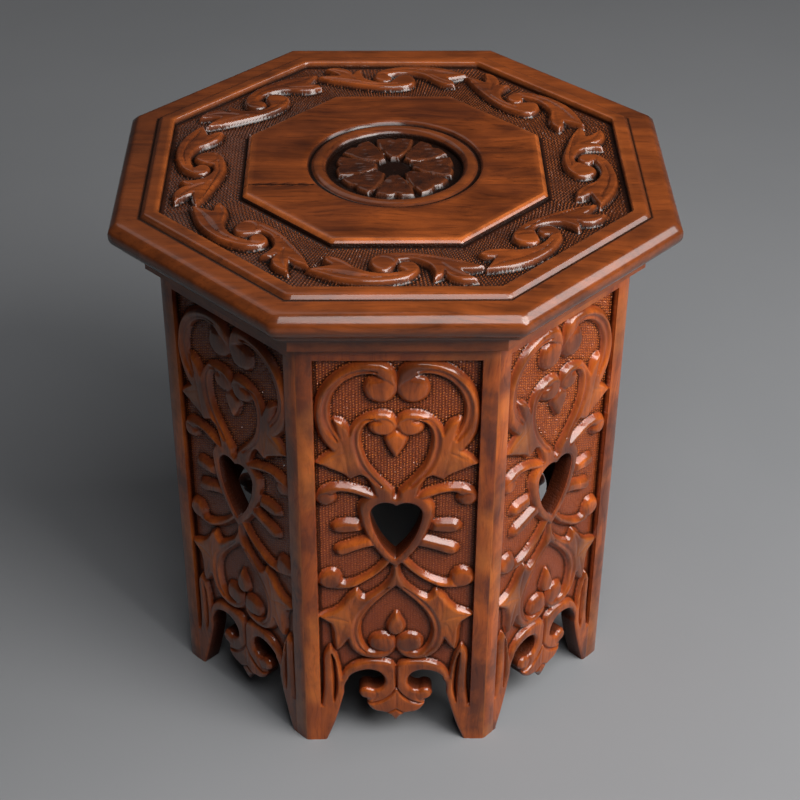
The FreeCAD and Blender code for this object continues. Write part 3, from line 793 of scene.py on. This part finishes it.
def rosette_height(at):
    """Height over the sunk field: dished petals with the small nicks of the gouge."""
    inside, reach = inside_rosette(at), 1.8
    dish = 0.7 * np.exp(-((np.hypot(*at.T) - 27) / 8) ** 2)
    nicks = waver(at * 14, 17, 0.14).sum(1) * (inside / reach).clip(0, 1)
    return raised(inside, reach, 1.2, 3.1, ROSETTE_HEIGHT) + (nicks - dish) * (inside > 0)


# %% [markdown]
# ## The top as rings
# The top is built from closed rings of points, from the underside over the moulded rim and the
# sunk band to the middle. On the rim and the band the rings are octagons, round the medallion they
# are circles, and on the raised middle they change slowly from one to the other. The band needs
# fine rings for its carving and the rest only coarse ones, so two rows of fans join them.

# %% Rings of the top
FINE = 144
COARSE = FINE // 4


def spokes(per_side):
    """Angles of the points of a ring, and how much further out a corner lies than a flat side."""
    share = np.arange(SIDES * per_side) / per_side
    t = (2 * (share % 1) - 1) * MITRE
    angle = -math.pi / 2 + (share // 1) * 2 * math.pi / SIDES + np.arctan(t)
    return angle, np.sqrt(1 + t * t)


def ring_points(out, octagonal, per_side):
    """Places of a ring between a circle, 0, and an octagon, 1."""
    angle, corner = spokes(per_side)
    radius = out * (1 + octagonal * (corner - 1))
    return np.stack([radius * np.cos(angle), radius * np.sin(angle)], 1)


def quarter(middle, reach, start, end, steps):
    """Places along a quarter round: (out, up) pairs from one angle to another."""
    angle = np.radians(np.linspace(start, end, steps))
    return [(middle[0] + reach[0] * math.cos(a), middle[1] + reach[1] * math.sin(a)) for a in angle]


# %% Profile of the top
bead = quarter((52.6, 399.6), (4.8, 2.4), 20, 125, 8)
# The depth column also holds painted shade: the foot of the raised rim is darkened.
RIM_RUNS = (  # depth in the stain, wear, then how far out and how high each ring lies
    (0.5, 0.15, [(110, 377), (181.4, 377), (182, 377.6), (182, 381),
                 *quarter((182, 390), (8, 9), -85, 0, 8)[:-1]]),
    (0.05, 0.15, [(190, 390), (190, 390.8), (189.9, 392.6), (189.4, 393.9), (188.5, 395), (186.2, 397.3),
                  (185.2, 398.2), (184, 398.8), (182.2, 399), (177, 399), (171.2, 399)]),
    (1.5, 0.15, [(169.8, 399), (169.3, 399.1)]),
    (0.5, 0.15, [(168.8, 399.5), (168.4, 399.9)]),
    (0.05, 0.15, [(166.9, 401.4), (166.5, 401.7), (165.8, 401.95), (164.8, 402), (161, 402)]),
    (0.05, 0.45, [(158.2, 402), (157.5, 401.5)]),
)
# Painted shade at the foot of the raised middle and in the grooves on both sides of the bead.
MIDDLE_RUNS = (
    (1.2, 0.0, [(102.9, 399.2)]),
    (0.3, 0.6, [(102.6, 399.6)]),
    (0.0, 0.9, [(100.3, 401.8)]),
    (0.0, 0.2, [(99.5, 402)]),
    (0.1, 0.0, [(96, 402), (88, 402), (80, 402), (72, 402), (65, 402), (61.3, 402), (60.9, 401.7)]),
    (1.5, 0.0, [(59.25, 399.6), (57.7, 400.1)]),
    (0.5, 0.0, [(57.4, 400.3), *bead[:2]]),
    (0.5, 0.15, bead[2:7]),
    (0.5, 0.0, [bead[7], (48.3, 400)]),
    (1.5, 0.0, [(47.1, 398.6)]),
)
ROUNDING_OUTS, OCTAGON_SHARES = (65, 72, 80, 88, 96), (0, 0.25, 0.55, 0.8, 1)
band_outs = np.concatenate([[157.3], np.linspace(156.7, 104.2, 71), [MIDDLE_OUT]])
rosette_outs = np.concatenate([[46.9], np.linspace(46.2, 1.2, 58)])

# %% [markdown]
# Each ring brings its places, its heights and two values for the finish: how deep it lies, with
# painted shade added at the feet of walls and in the hollows of the medallion, and how much it is
# rubbed. The rings of the band are looked up in the drawing of the band, side by side, and the rings
# of the medallion come from the rosette.

# %% Rings of the band and of the medallion
def band_rings():
    """Places, heights, depth and wear of the carved band, ring by ring."""
    shape = len(band_outs), SIDES * FINE
    row, column = np.divmod(np.arange(shape[0] * shape[1]), shape[1])
    turn = -math.pi / 2 + (column // FINE) * 2 * math.pi / SIDES
    flat = np.vstack([ring_points(out, 1, FINE) for out in band_outs])
    along = np.stack([-np.sin(turn), np.cos(turn)], 1)
    outwards = np.stack([np.cos(turn), np.sin(turn)], 1)
    start = np.stack([(flat * along).sum(1), (flat * outwards).sum(1)], 1) + waver(flat, 91, 0.4)
    drawn = start.copy()
    close = moved_onto(lambda at: band.look("inside", at), drawn, 0.37)
    rim = (row < 4) | (row > shape[0] - 5)
    drawn[rim] = start[rim]
    shift = drawn - start
    flat = flat + shift[:, :1] * along + shift[:, 1:] * outwards
    height = band.look("height", drawn)
    height[close] = np.maximum(height[close], SUNK_EDGE)
    height, dot = punched(height, column, row, 5)
    height[rim], dot[rim] = 0, 0
    depth, wear = stain_shade_and_wear(height, shape, 0.5, 0.1, 0.8 * dot)
    # Painted shade along the feet of the raised middle and the raised rim.
    foot = np.minimum(band_outs[row] - MIDDLE_OUT, BAND_OUT - band_outs[row])
    depth += 0.6 * np.exp(-(foot / 1.7) ** 2)
    # Painted shade: the rubbed dots and edges are kept darker towards the left of the top, where the light
    # falls off.
    wear *= 1 - 0.6 * (-flat[:, 0] / TOP_OUT).clip(0, 1)
    up = BAND_FLOOR + height
    return flat.reshape(*shape, 2), up.reshape(shape), depth.reshape(shape), wear.reshape(shape)


def rosette_ring(out):
    """Places, heights, depth and wear of one ring of the medallion."""
    at = ring_points(out, 0, COARSE)
    if out < ROSETTE_FIELD:
        moved_onto(inside_rosette, at, 0.4)
    up = rosette_height(at)
    # The medallion is stained dark, and its slots and sunk field are darkened further as painted shade.
    depth = 0.9 + 0.8 * (1 - up / 4).clip(0, 1)
    wear = 0.2 * np.exp(-((inside_rosette(at) - 0.4) / 0.8) ** 2)
    return at, ROSETTE_FLOOR + up, depth, wear


# %% All rings of the top
def painted_top_shade(at):
    """Painted shade over the top: darkest towards its left, where the light falls off, a little darker
    towards its right and back, and lightest at the front.
    """
    x, y = at.T / TOP_OUT
    return 0.6 * np.maximum(-x, 0.4 * np.maximum(x, y)).clip(0, 1)


def plain_rings(runs):
    """Places, height, depth and wear of the smooth rings."""
    rings = []
    for depth, wear, profile in runs:
        for out, up in profile:
            at = ring_points(out, np.interp(out, ROUNDING_OUTS, OCTAGON_SHARES), COARSE)
            rings.append((at, up, depth + painted_top_shade(at), wear))
    return rings


top_rings = plain_rings(RIM_RUNS) + list(zip(*band_rings())) + plain_rings(MIDDLE_RUNS)
top_rings += [rosette_ring(out) for out in rosette_outs]
# The eye of the rosette is painted dark as shade.
top_rings.append((np.zeros((1, 2)), ROSETTE_FLOOR + 0.4, 1.2, 0.0))
top_rings.append((np.zeros((1, 2)), TOP_UNDERSIDE, 0.6, 0.0))
sizes = [len(ring[0]) for ring in top_rings]
starts = np.concatenate([[0], np.cumsum(sizes)])
top_up, top_depth, top_wear = (
    np.concatenate([np.broadcast_to(ring[k], len(ring[0])) for ring in top_rings]) for k in (1, 2, 3))
top_places = np.column_stack([np.vstack([ring[0] for ring in top_rings]), top_up]) * MM
print("rings of the top:", len(top_rings), "points:", len(top_places))

# %% Faces between the rings
def ring_faces(a, m, b, n):
    """Faces between two rings of m and n points, alike or one four times as fine as the other."""
    if m == n:
        i = np.arange(m)
        j = (i + 1) % m
        return np.stack([a + i, a + j, b + j, b + i], 1).tolist()
    coarse, fine, few = (a, b, m) if n > m else (b, a, n)
    faces = []
    for i in range(few):
        here, after = coarse + i, coarse + (i + 1) % few
        p = [fine + (4 * i + q) % (4 * few) for q in range(5)]
        fan = [(here, p[1], p[0]), (here, p[2], p[1]), (here, after, p[2]), (after, p[3], p[2]),
               (after, p[4], p[3])]
        faces += fan if n > m else [f[::-1] for f in fan]
    return faces


top_faces = []
for k in range(len(sizes) - 3):
    top_faces += ring_faces(starts[k], sizes[k], starts[k + 1], sizes[k + 1])
inner, middle, under = starts[-4], int(starts[-3]), int(starts[-2])
top_faces += [(inner + i, inner + (i + 1) % sizes[-3], middle) for i in range(sizes[-3])]
top_faces += [(i, under, (i + 1) % sizes[0]) for i in range(sizes[0])]
top_faces = [tuple(int(v) for v in face) for face in top_faces]
print("top before cutting:", len(top_faces), "faces")

# %% [markdown]
# ## Two boards
# The top is glued up from two boards. On the real one the joint shows as a thin dark line at the
# left of the raised middle, where the wood has shrunk. So the rings are cut in two along the joint,
# each half is closed, and the front half is eased back by a hair where the line shows.

# %% Cut the top into its boards
JOINT = -30.0
CRACK_START, CRACK_END, CRACK_WIDTH = -101.0, -55.0, 0.7
FRONT_GRAIN, BACK_GRAIN = (0.9, 0.13, 0), (0.9, 0.53, 0)


def make_board(name, keep_front, node):
    """The front or the back board, cut from the whole top."""
    way = 1 if keep_front else -1
    grain = FRONT_GRAIN if keep_front else BACK_GRAIN
    layers = {"depth": top_depth, "wear": top_wear, "board": top_places + grain}
    piece = keep_mesh(name, top_places, top_faces, layers)
    cut = bmesh.new()
    cut.from_mesh(piece.data)
    found = bmesh.ops.bisect_plane(cut, geom=cut.verts[:] + cut.edges[:] + cut.faces[:], dist=1e-7,
                                   plane_co=(0, JOINT * MM, 0), plane_no=(0, way, 0), clear_outer=True)
    rim = [e for e in found["geom_cut"] if isinstance(e, bmesh.types.BMEdge)]
    bmesh.ops.triangle_fill(cut, use_beauty=True, edges=rim, normal=(0, way, 0))
    depth = cut.verts.layers.float["depth"]
    for v in cut.verts:
        x, y, z = v.co / MM
        if abs(y - JOINT) < 0.001 and z > TABLE_HEIGHT - 1 and CRACK_START < x < CRACK_END:
            v[depth] = 1.2
            v.co.y -= CRACK_WIDTH * MM * keep_front
    bmesh.ops.recalc_face_normals(cut, faces=cut.faces[:])
    cut.to_mesh(piece.data)
    open_edges = sum(not e.is_manifold for e in cut.edges)
    cut.free()
    piece.data.set_sharp_from_angle(angle=SHARP)
    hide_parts(node)
    print(name, "faces:", len(piece.data.polygons), "open edges:", open_edges)
    return piece


boards = [make_board("carved_top_front", True, "top_board_front"),
          make_board("carved_top_back", False, "top_board_back")]

# %% [markdown]
# ## Cornice strips
# Under the top a moulding hides the joint with the base: a hollow cove over a square fillet and a
# round. Each of the eight strips is its profile drawn along the side and cut to the mitre, with its
# sharp edges eased a little, as sandpaper leaves them.

# %% Cornice strips
FILLET_OUT, COVE_FOOT, COVE_LIP = 168.5, 366.5, 179.0
STRIP_STEPS, NEXT_STRIP = 25, 170.0
cornice_profile = [(159.5, 377), (179.4, 377), (180, 376.5), *quarter((180, 366), (11.5, 10.4), 92, 178, 9),
                   (FILLET_OUT, 364.9), (FILLET_OUT, 360.5), *quarter((159.5, 360), (9, 4), 0, 88, 7),
                   (159.5, 356)]


def make_cornice(side):
    """One strip: its profile drawn along the side and cut to the mitre."""
    along = np.linspace(-1, 1, STRIP_STEPS)
    count = len(cornice_profile)
    out, up = np.tile(np.transpose(cornice_profile), len(along))
    across = np.repeat(along, count) * out * MITRE
    index = np.arange(len(out)).reshape(len(along), count)
    after = np.roll(index, -1, 1)
    faces = np.stack([index[:-1], index[1:], after[1:], after[:-1]], -1).reshape(-1, 4).tolist()
    faces += [index[0].tolist(), index[-1][::-1].tolist()]
    # The cove under the top is painted dark as shade; the fillet and the lip of the cove are rubbed.
    layers = {"depth": np.where(up > COVE_FOOT, 0.85, 0.2),
              "wear": np.where((np.abs(out - FILLET_OUT) < 0.1) | (out > COVE_LIP), 0.5, 0.1),
              "board": np.stack([across + NEXT_STRIP * side, out, up], 1) * MM}
    piece = keep_mesh(f"cornice_{side}", to_side(across, out, up, side), faces, layers)
    mend = bmesh.new()
    mend.from_mesh(piece.data)
    bmesh.ops.recalc_face_normals(mend, faces=mend.faces[:])
    mend.to_mesh(piece.data)
    mend.free()
    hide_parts(f"cornice_strip_{side}")
    return piece


cornices = [make_cornice(side) for side in range(1, SIDES + 1)]
print("cornice strips:", len(cornices))

# %% [markdown]
# ## Shared effects
# Four effects turn up in several finishes, so each is a node group with its own inputs: the grain of
# a board, the dark stain in the carving with a painted shade that goes nearly black in its creases and
# corners, while raised edges are rubbed pale and old varnish goes dark in blotches, the uneven film of
# varnish, and the fine marks of the punch on the sunk ground. The values "depth" and "wear" come from
# the meshes, where the shape itself says what lies low and what stands proud; "depth" also carries the
# painted shade.

# %% Helpers for nodes
def srgb(red, green, blue):
    """A colour as it looks, 0 to 255, turned into the linear values that sockets take."""
    parts = [c / 255 for c in (red, green, blue)]
    return tuple(c / 12.92 if c < 0.04045 else ((c + 0.055) / 1.055) ** 2.4 for c in parts) + (1.0,)


class Nodes:
    """Short calls that add nodes to one tree and hand back the sockets to go on from."""

    def __init__(self, tree):
        self.tree = tree

    def fill(self, inputs, values):
        """Link each named input to a socket, or set it to a value."""
        for title, value in values.items():
            if isinstance(value, bpy.types.NodeSocket):
                self.tree.links.new(value, inputs[title])
            else:
                inputs[title].default_value = value

    def add(self, kind, sockets, **settings):
        node = self.tree.nodes.new("ShaderNode" + kind)
        for title, value in settings.items():
            setattr(node, title, value)
        self.fill(node.inputs, sockets)
        return node.outputs

    def use(self, name, sockets):
        return self.add("Group", sockets, node_tree=bpy.data.node_groups[name])

    def calc(self, operation, a, b, clamp=False):
        return self.add("Math", {0: a, 1: b}, operation=operation, use_clamp=clamp)[0]

    def times(self, vector, scale):
        return self.add("VectorMath", {0: vector, 1: scale}, operation="MULTIPLY")[0]

    def noise(self, vector, scale, detail=4.0, roughness=0.55):
        """Noise on scaled places: a small scale along the grain makes it long that way."""
        return self.add("TexNoise", {"Vector": self.times(vector, scale), "Scale": 1.0, "Detail": detail,
                                     "Roughness": roughness})["Fac"]

    def remap(self, value, low, high, to_low=0.0, to_high=1.0):
        return self.add("MapRange", {0: value, 1: low, 2: high, 3: to_low, 4: to_high}, clamp=True)[0]

    def blend(self, share, a, b, way="MIX"):
        return self.add("Mix", {0: share, 6: a, 7: b}, data_type="RGBA", blend_type=way)[2]

    def bump(self, height, strength, distance, under=None):
        """A bump, over the one under it if there is one."""
        sockets = {"Strength": strength, "Distance": distance, "Height": height}
        return self.add("Bump", {**sockets, "Normal": under} if under is not None else sockets)["Normal"]


def new_group(name, inputs, outputs):
    """A node group: its calls, the sockets that it is given and the sockets that it makes."""
    group = bpy.data.node_groups.new(name, "ShaderNodeTree")
    for way, sockets in (("INPUT", inputs), ("OUTPUT", outputs)):
        for title, kind in sockets.items():
            group.interface.new_socket(title, in_out=way, socket_type="NodeSocket" + kind)
    given, made = (group.nodes.new("NodeGroup" + end) for end in ("Input", "Output"))
    return Nodes(group), given.outputs, made.inputs


# %% Grain of a board
nodes, given, made = new_group("board_grain", {"Board": "Vector", "Pale": "Color", "Deep": "Color"},
                               {"Color": "Color", "Height": "Float"})
broad = nodes.times(given["Board"], (8, 16, 16))
drift = nodes.add("TexNoise", {"Vector": broad, "Scale": 1.0, "Detail": 2.0})
sway = nodes.times(drift["Color"], (0, 0.04, 0.04))
bent = nodes.add("VectorMath", {0: given["Board"], 1: sway}, operation="ADD")[0]
figure = nodes.noise(bent, (4, 95, 95), 5.0, 0.62)
cloud = nodes.noise(bent, (16, 30, 30), 3.0)
smoke = nodes.remap(nodes.noise(bent, (14, 36, 36)), 0.54, 0.72, 0.0, 0.35)
pore = nodes.remap(nodes.noise(bent, (24, 460, 460), 3.0, 0.65), 0.52, 0.70)
share = nodes.calc("ADD", *(nodes.remap(wave, 0.36, 0.64, 0.0, 0.5) for wave in (figure, cloud)))
tone = nodes.blend(share, given["Deep"], given["Pale"])
smoked = nodes.blend(smoke, tone, given["Deep"], "MULTIPLY")
lined = nodes.blend(nodes.calc("MULTIPLY", pore, 0.5), smoked, given["Deep"], "MULTIPLY")
relief = nodes.calc("SUBTRACT", figure, nodes.calc("MULTIPLY", pore, 0.6))
nodes.fill(made, {"Color": lined, "Height": relief})

# %% Stain in the carving, painted shade and rubbed edges
# The second colour is the near-black of painted shade.
OLD_VARNISH, PAINTED_SHADE_COLOUR = srgb(60, 28, 22), srgb(14, 7, 5)
nodes, given, made = new_group(
    "stain_wear_and_painted_shade", {"Wood": "Color", "Board": "Vector", "Depth": "Float", "Wear": "Float",
                     "Stain": "Color", "Rubbed": "Color", "Age": "Float"},
    {"Color": "Color", "Low": "Float", "Shine": "Float"})
patch = nodes.noise(given["Board"], (45, 60, 60), 4.0, 0.65)
settled = nodes.remap(patch, 0.25, 0.7, 0.72, 1.0)
low = nodes.calc("MULTIPLY", nodes.remap(given["Depth"], 0.12, 1.05), settled, True)
blotch = nodes.remap(nodes.noise(given["Board"], (16, 24, 24), 5.0, 0.6), 0.45, 0.57)
aged = nodes.blend(nodes.calc("MULTIPLY", blotch, given["Age"]), given["Wood"], OLD_VARNISH)
dark = nodes.blend(low, aged, given["Stain"])
proud = nodes.calc("MULTIPLY", given["Wear"], nodes.remap(patch, 0.35, 0.65, 0.3, 1.0), True)
rubbed = nodes.blend(proud, dark, given["Rubbed"])
# Painted shade: past the depth that stain reaches (creases, feet of walls, pierced edges, inner faces) the
# colour goes nearly black and the coat's gloss is taken away.
painted_shade = nodes.remap(given["Depth"], 1.05, 1.6, 0.0, 0.85)
nodes.fill(made, {"Color": nodes.blend(painted_shade, rubbed, PAINTED_SHADE_COLOUR), "Low": low,
                  "Shine": nodes.calc("SUBTRACT", 1.0, painted_shade)})

# %% Film of varnish
nodes, given, made = new_group("varnish_film", {"Board": "Vector", "Low": "Float"},
                               {"Roughness": "Float", "Height": "Float"})
smear = nodes.noise(given["Board"], (18, 60, 60), 3.0, 0.6)
speck = nodes.calc("MULTIPLY", nodes.noise(given["Board"], (700, 700, 700), 1.0), 0.12)
dulled = nodes.calc("MULTIPLY", given["Low"], 0.12)
nodes.fill(made, {"Roughness": nodes.calc("ADD", nodes.remap(smear, 0.3, 0.7, 0.30, 0.46), dulled),
                  "Height": nodes.calc("ADD", smear, speck)})

# %% Marks of the punch on the sunk ground
nodes, given, made = new_group("punch_marks", {"Board": "Vector", "Depth": "Float"}, {"Height": "Float"})
pits = nodes.add("TexVoronoi", {"Vector": nodes.times(given["Board"], (620, 620, 620)), "Scale": 1.0,
                                "Randomness": 0.75}, feature="F1")
deep = nodes.remap(given["Depth"], 0.75, 0.95)
nodes.fill(made, {"Height": nodes.calc("MULTIPLY", nodes.remap(pits["Distance"], 0.05, 0.55), deep)})
print("shared effects:", [g.name for g in bpy.data.node_groups])

# %% [markdown]
# ## Finishes
# The table is one kind of dark reddish-brown hardwood under a glossy varnish. The top is the darkest,
# with stain that is nearly black in its carving and painted shade over it. The panels are lighter but
# blotched by old varnish, and the mouldings lie between. Each finish is its own material with its own
# colours, built from the shared effects, and its gloss comes from a coat on the shader.

# %% Varnished wood
def new_finish(name):
    """A material, the calls for its nodes and the sockets of its shader."""
    material = bpy.data.materials.new(name)
    material.use_nodes = True
    return material, Nodes(material.node_tree), material.node_tree.nodes["Principled BSDF"].inputs


def varnished_wood(name, pale, deep, stain, rubbed, age, punched_ground=True):
    """Stained and varnished wood in the colours of one kind of piece."""
    material, nodes, shader = new_finish(name)
    board = nodes.add("Attribute", {}, attribute_name="board")["Vector"]
    depth, wear = (nodes.add("Attribute", {}, attribute_name=title)["Fac"] for title in ("depth", "wear"))
    wood = nodes.use("board_grain", {"Board": board, "Pale": srgb(*pale), "Deep": srgb(*deep)})
    tint = nodes.use("stain_wear_and_painted_shade", {"Wood": wood["Color"], "Board": board, "Depth": depth, "Wear": wear,
                                      "Stain": srgb(*stain), "Rubbed": srgb(*rubbed), "Age": age})
    film = nodes.use("varnish_film", {"Board": board, "Low": tint["Low"]})
    bump = nodes.bump(wood["Height"], 0.22, 0.0004)
    bump = nodes.bump(film["Height"], 0.25, 0.0004, bump)
    if punched_ground:
        marks = nodes.use("punch_marks", {"Board": board, "Depth": depth})
        bump = nodes.bump(marks["Height"], 0.6, 0.0006, bump)
    nodes.fill(shader, {"Base Color": tint["Color"], "Roughness": film["Roughness"], "Normal": bump,
                        "Specular IOR Level": 0.1, "Coat Weight": tint["Shine"], "Coat Roughness": 0.15})
    return material


panel_wood = varnished_wood("panel_wood", (208, 102, 34), (116, 49, 19), (158, 71, 35), (246, 144, 62), 0.66)
top_wood = varnished_wood("top_wood", (158, 78, 31), (74, 33, 13), (42, 19, 10), (196, 104, 46), 0.25)
moulding_wood = varnished_wood("moulding_wood", (172, 84, 34), (94, 41, 17), (44, 20, 12), (198, 102, 46),
                               0.5, punched_ground=False)
for material, pieces in ((panel_wood, panels), (top_wood, boards), (moulding_wood, cornices)):
    for piece in pieces:
        piece.data.materials.append(material)
print("finishes:", panel_wood.name, top_wood.name, moulding_wood.name)

# %% [markdown]
# ## Hidden pieces
# The glue blocks and fixing blocks inside the base are bare sawn wood, and the screws and brads are
# plain steel gone dull. Their CAD shapes are right as they are, so they only get a finish.

# %% Bare wood and steel
def bare_wood(name):
    """Sawn wood with the lines of the saw across its grain."""
    material, nodes, shader = new_finish(name)
    place = nodes.add("TexCoord", {})["Object"]
    upright = nodes.add("Mapping", {"Vector": place, "Rotation": (0, math.pi / 2, 0)})[0]
    wood = nodes.use("board_grain", {"Board": upright, "Pale": srgb(150, 104, 64),
                                     "Deep": srgb(104, 66, 38)})
    saw = nodes.noise(place, (60, 60, 1100), 2.0)
    sawn = nodes.blend(nodes.calc("MULTIPLY", saw, 0.25), wood["Color"], srgb(84, 54, 32))
    nodes.fill(shader, {"Base Color": sawn, "Roughness": nodes.remap(saw, 0.3, 0.7, 0.62, 0.82),
                        "Normal": nodes.bump(saw, 0.4, 0.0005)})
    return material


def dull_steel(name):
    """Steel with brown spots where it has gone dull."""
    material, nodes, shader = new_finish(name)
    spots = nodes.noise(nodes.add("TexCoord", {})["Object"], (900, 900, 900))
    colour = nodes.blend(nodes.remap(spots, 0.45, 0.7), srgb(150, 148, 144), srgb(86, 66, 52))
    nodes.fill(shader, {"Base Color": colour, "Roughness": nodes.remap(spots, 0.3, 0.7, 0.32, 0.7),
                        "Metallic": 0.9})
    return material


inner_wood, steel = bare_wood("inner_wood"), dull_steel("steel")


def finish_nodes(names, material):
    """Give CAD shapes their finish."""
    for name in names:
        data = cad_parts[name].data
        data.materials.clear()
        data.materials.append(material)


blocks = [f"{kind}_block_{side}" for kind in ("corner", "top") for side in range(1, SIDES + 1)]
finish_nodes(blocks, inner_wood)
finish_nodes(["top_screws", "block_screws", "cornice_brads"], steel)
print("hidden pieces finished:", len(blocks) + 3)

# %% [markdown]
# ## Floor and light
# The table stands on a plain floor. Where the floor is looked at or mirrored it is a pale grey, but it
# throws little light back, so that the inside of the base stays dark behind its pierced panels. A
# large soft lamp high at the front right lights the right-hand sides, as in the photograph, where
# the left ones fall into shade. One lamp over the front and one from the right draw the shine along
# the edges, and a wide weak one high behind keeps the far sides readable.

# %% Floor
bpy.ops.mesh.primitive_plane_add(size=8)
floor = bpy.context.object
floor.name = "floor"
floor_finish, nodes, shader = new_finish("plain_floor")
mottle = nodes.noise(nodes.add("TexCoord", {})["Object"], (1, 1, 1), 6.0)
seen = nodes.blend(nodes.remap(mottle, 0.3, 0.7), srgb(136, 138, 141), srgb(146, 147, 150))
path = nodes.add("LightPath", {})
looked_at = nodes.calc("MAXIMUM", path["Is Camera Ray"], path["Is Glossy Ray"])
looked_at = nodes.calc("MAXIMUM", looked_at, path["Is Transmission Ray"])
nodes.fill(shader, {"Base Color": nodes.blend(looked_at, srgb(54, 55, 56), seen), "Roughness": 0.85})
floor.data.materials.append(floor_finish)

# %% Lamps and world
def soft_lamp(name, place, aim, size, power, colour=(1, 1, 1)):
    """A round soft lamp, turned towards a place."""
    data = bpy.data.lights.new(name, "AREA")
    data.shape, data.size, data.energy, data.color = "DISK", size, power, colour
    lamp = bpy.data.objects.new(name, data)
    lamp.location = place
    lamp.rotation_euler = (Vector(aim) - Vector(place)).to_track_quat("-Z", "Y").to_euler()
    scene.collection.objects.link(lamp)


soft_lamp("key", (1.0, -0.8, 1.3), (0, 0, 0.25), 1.0, 26.5, (1.0, 0.98, 0.95))
soft_lamp("front_top", (0.24, -0.9, 1.6), (0, 0, 0.3), 0.9, 9.5)
soft_lamp("side", (1.5, -0.05, 1.35), (0, 0, 0.4), 0.8, 8)
soft_lamp("back_fill", (-0.8, 1.2, 2.4), (0, 0, 0.2), 2.0, 5)
world = bpy.data.worlds.new("studio")
world.use_nodes = True
Nodes(world.node_tree).fill(world.node_tree.nodes["Background"].inputs,
                            {"Color": (0.80, 0.84, 0.90, 1), "Strength": 0.03})
scene.world = world
scene.view_settings.view_transform = "Standard"
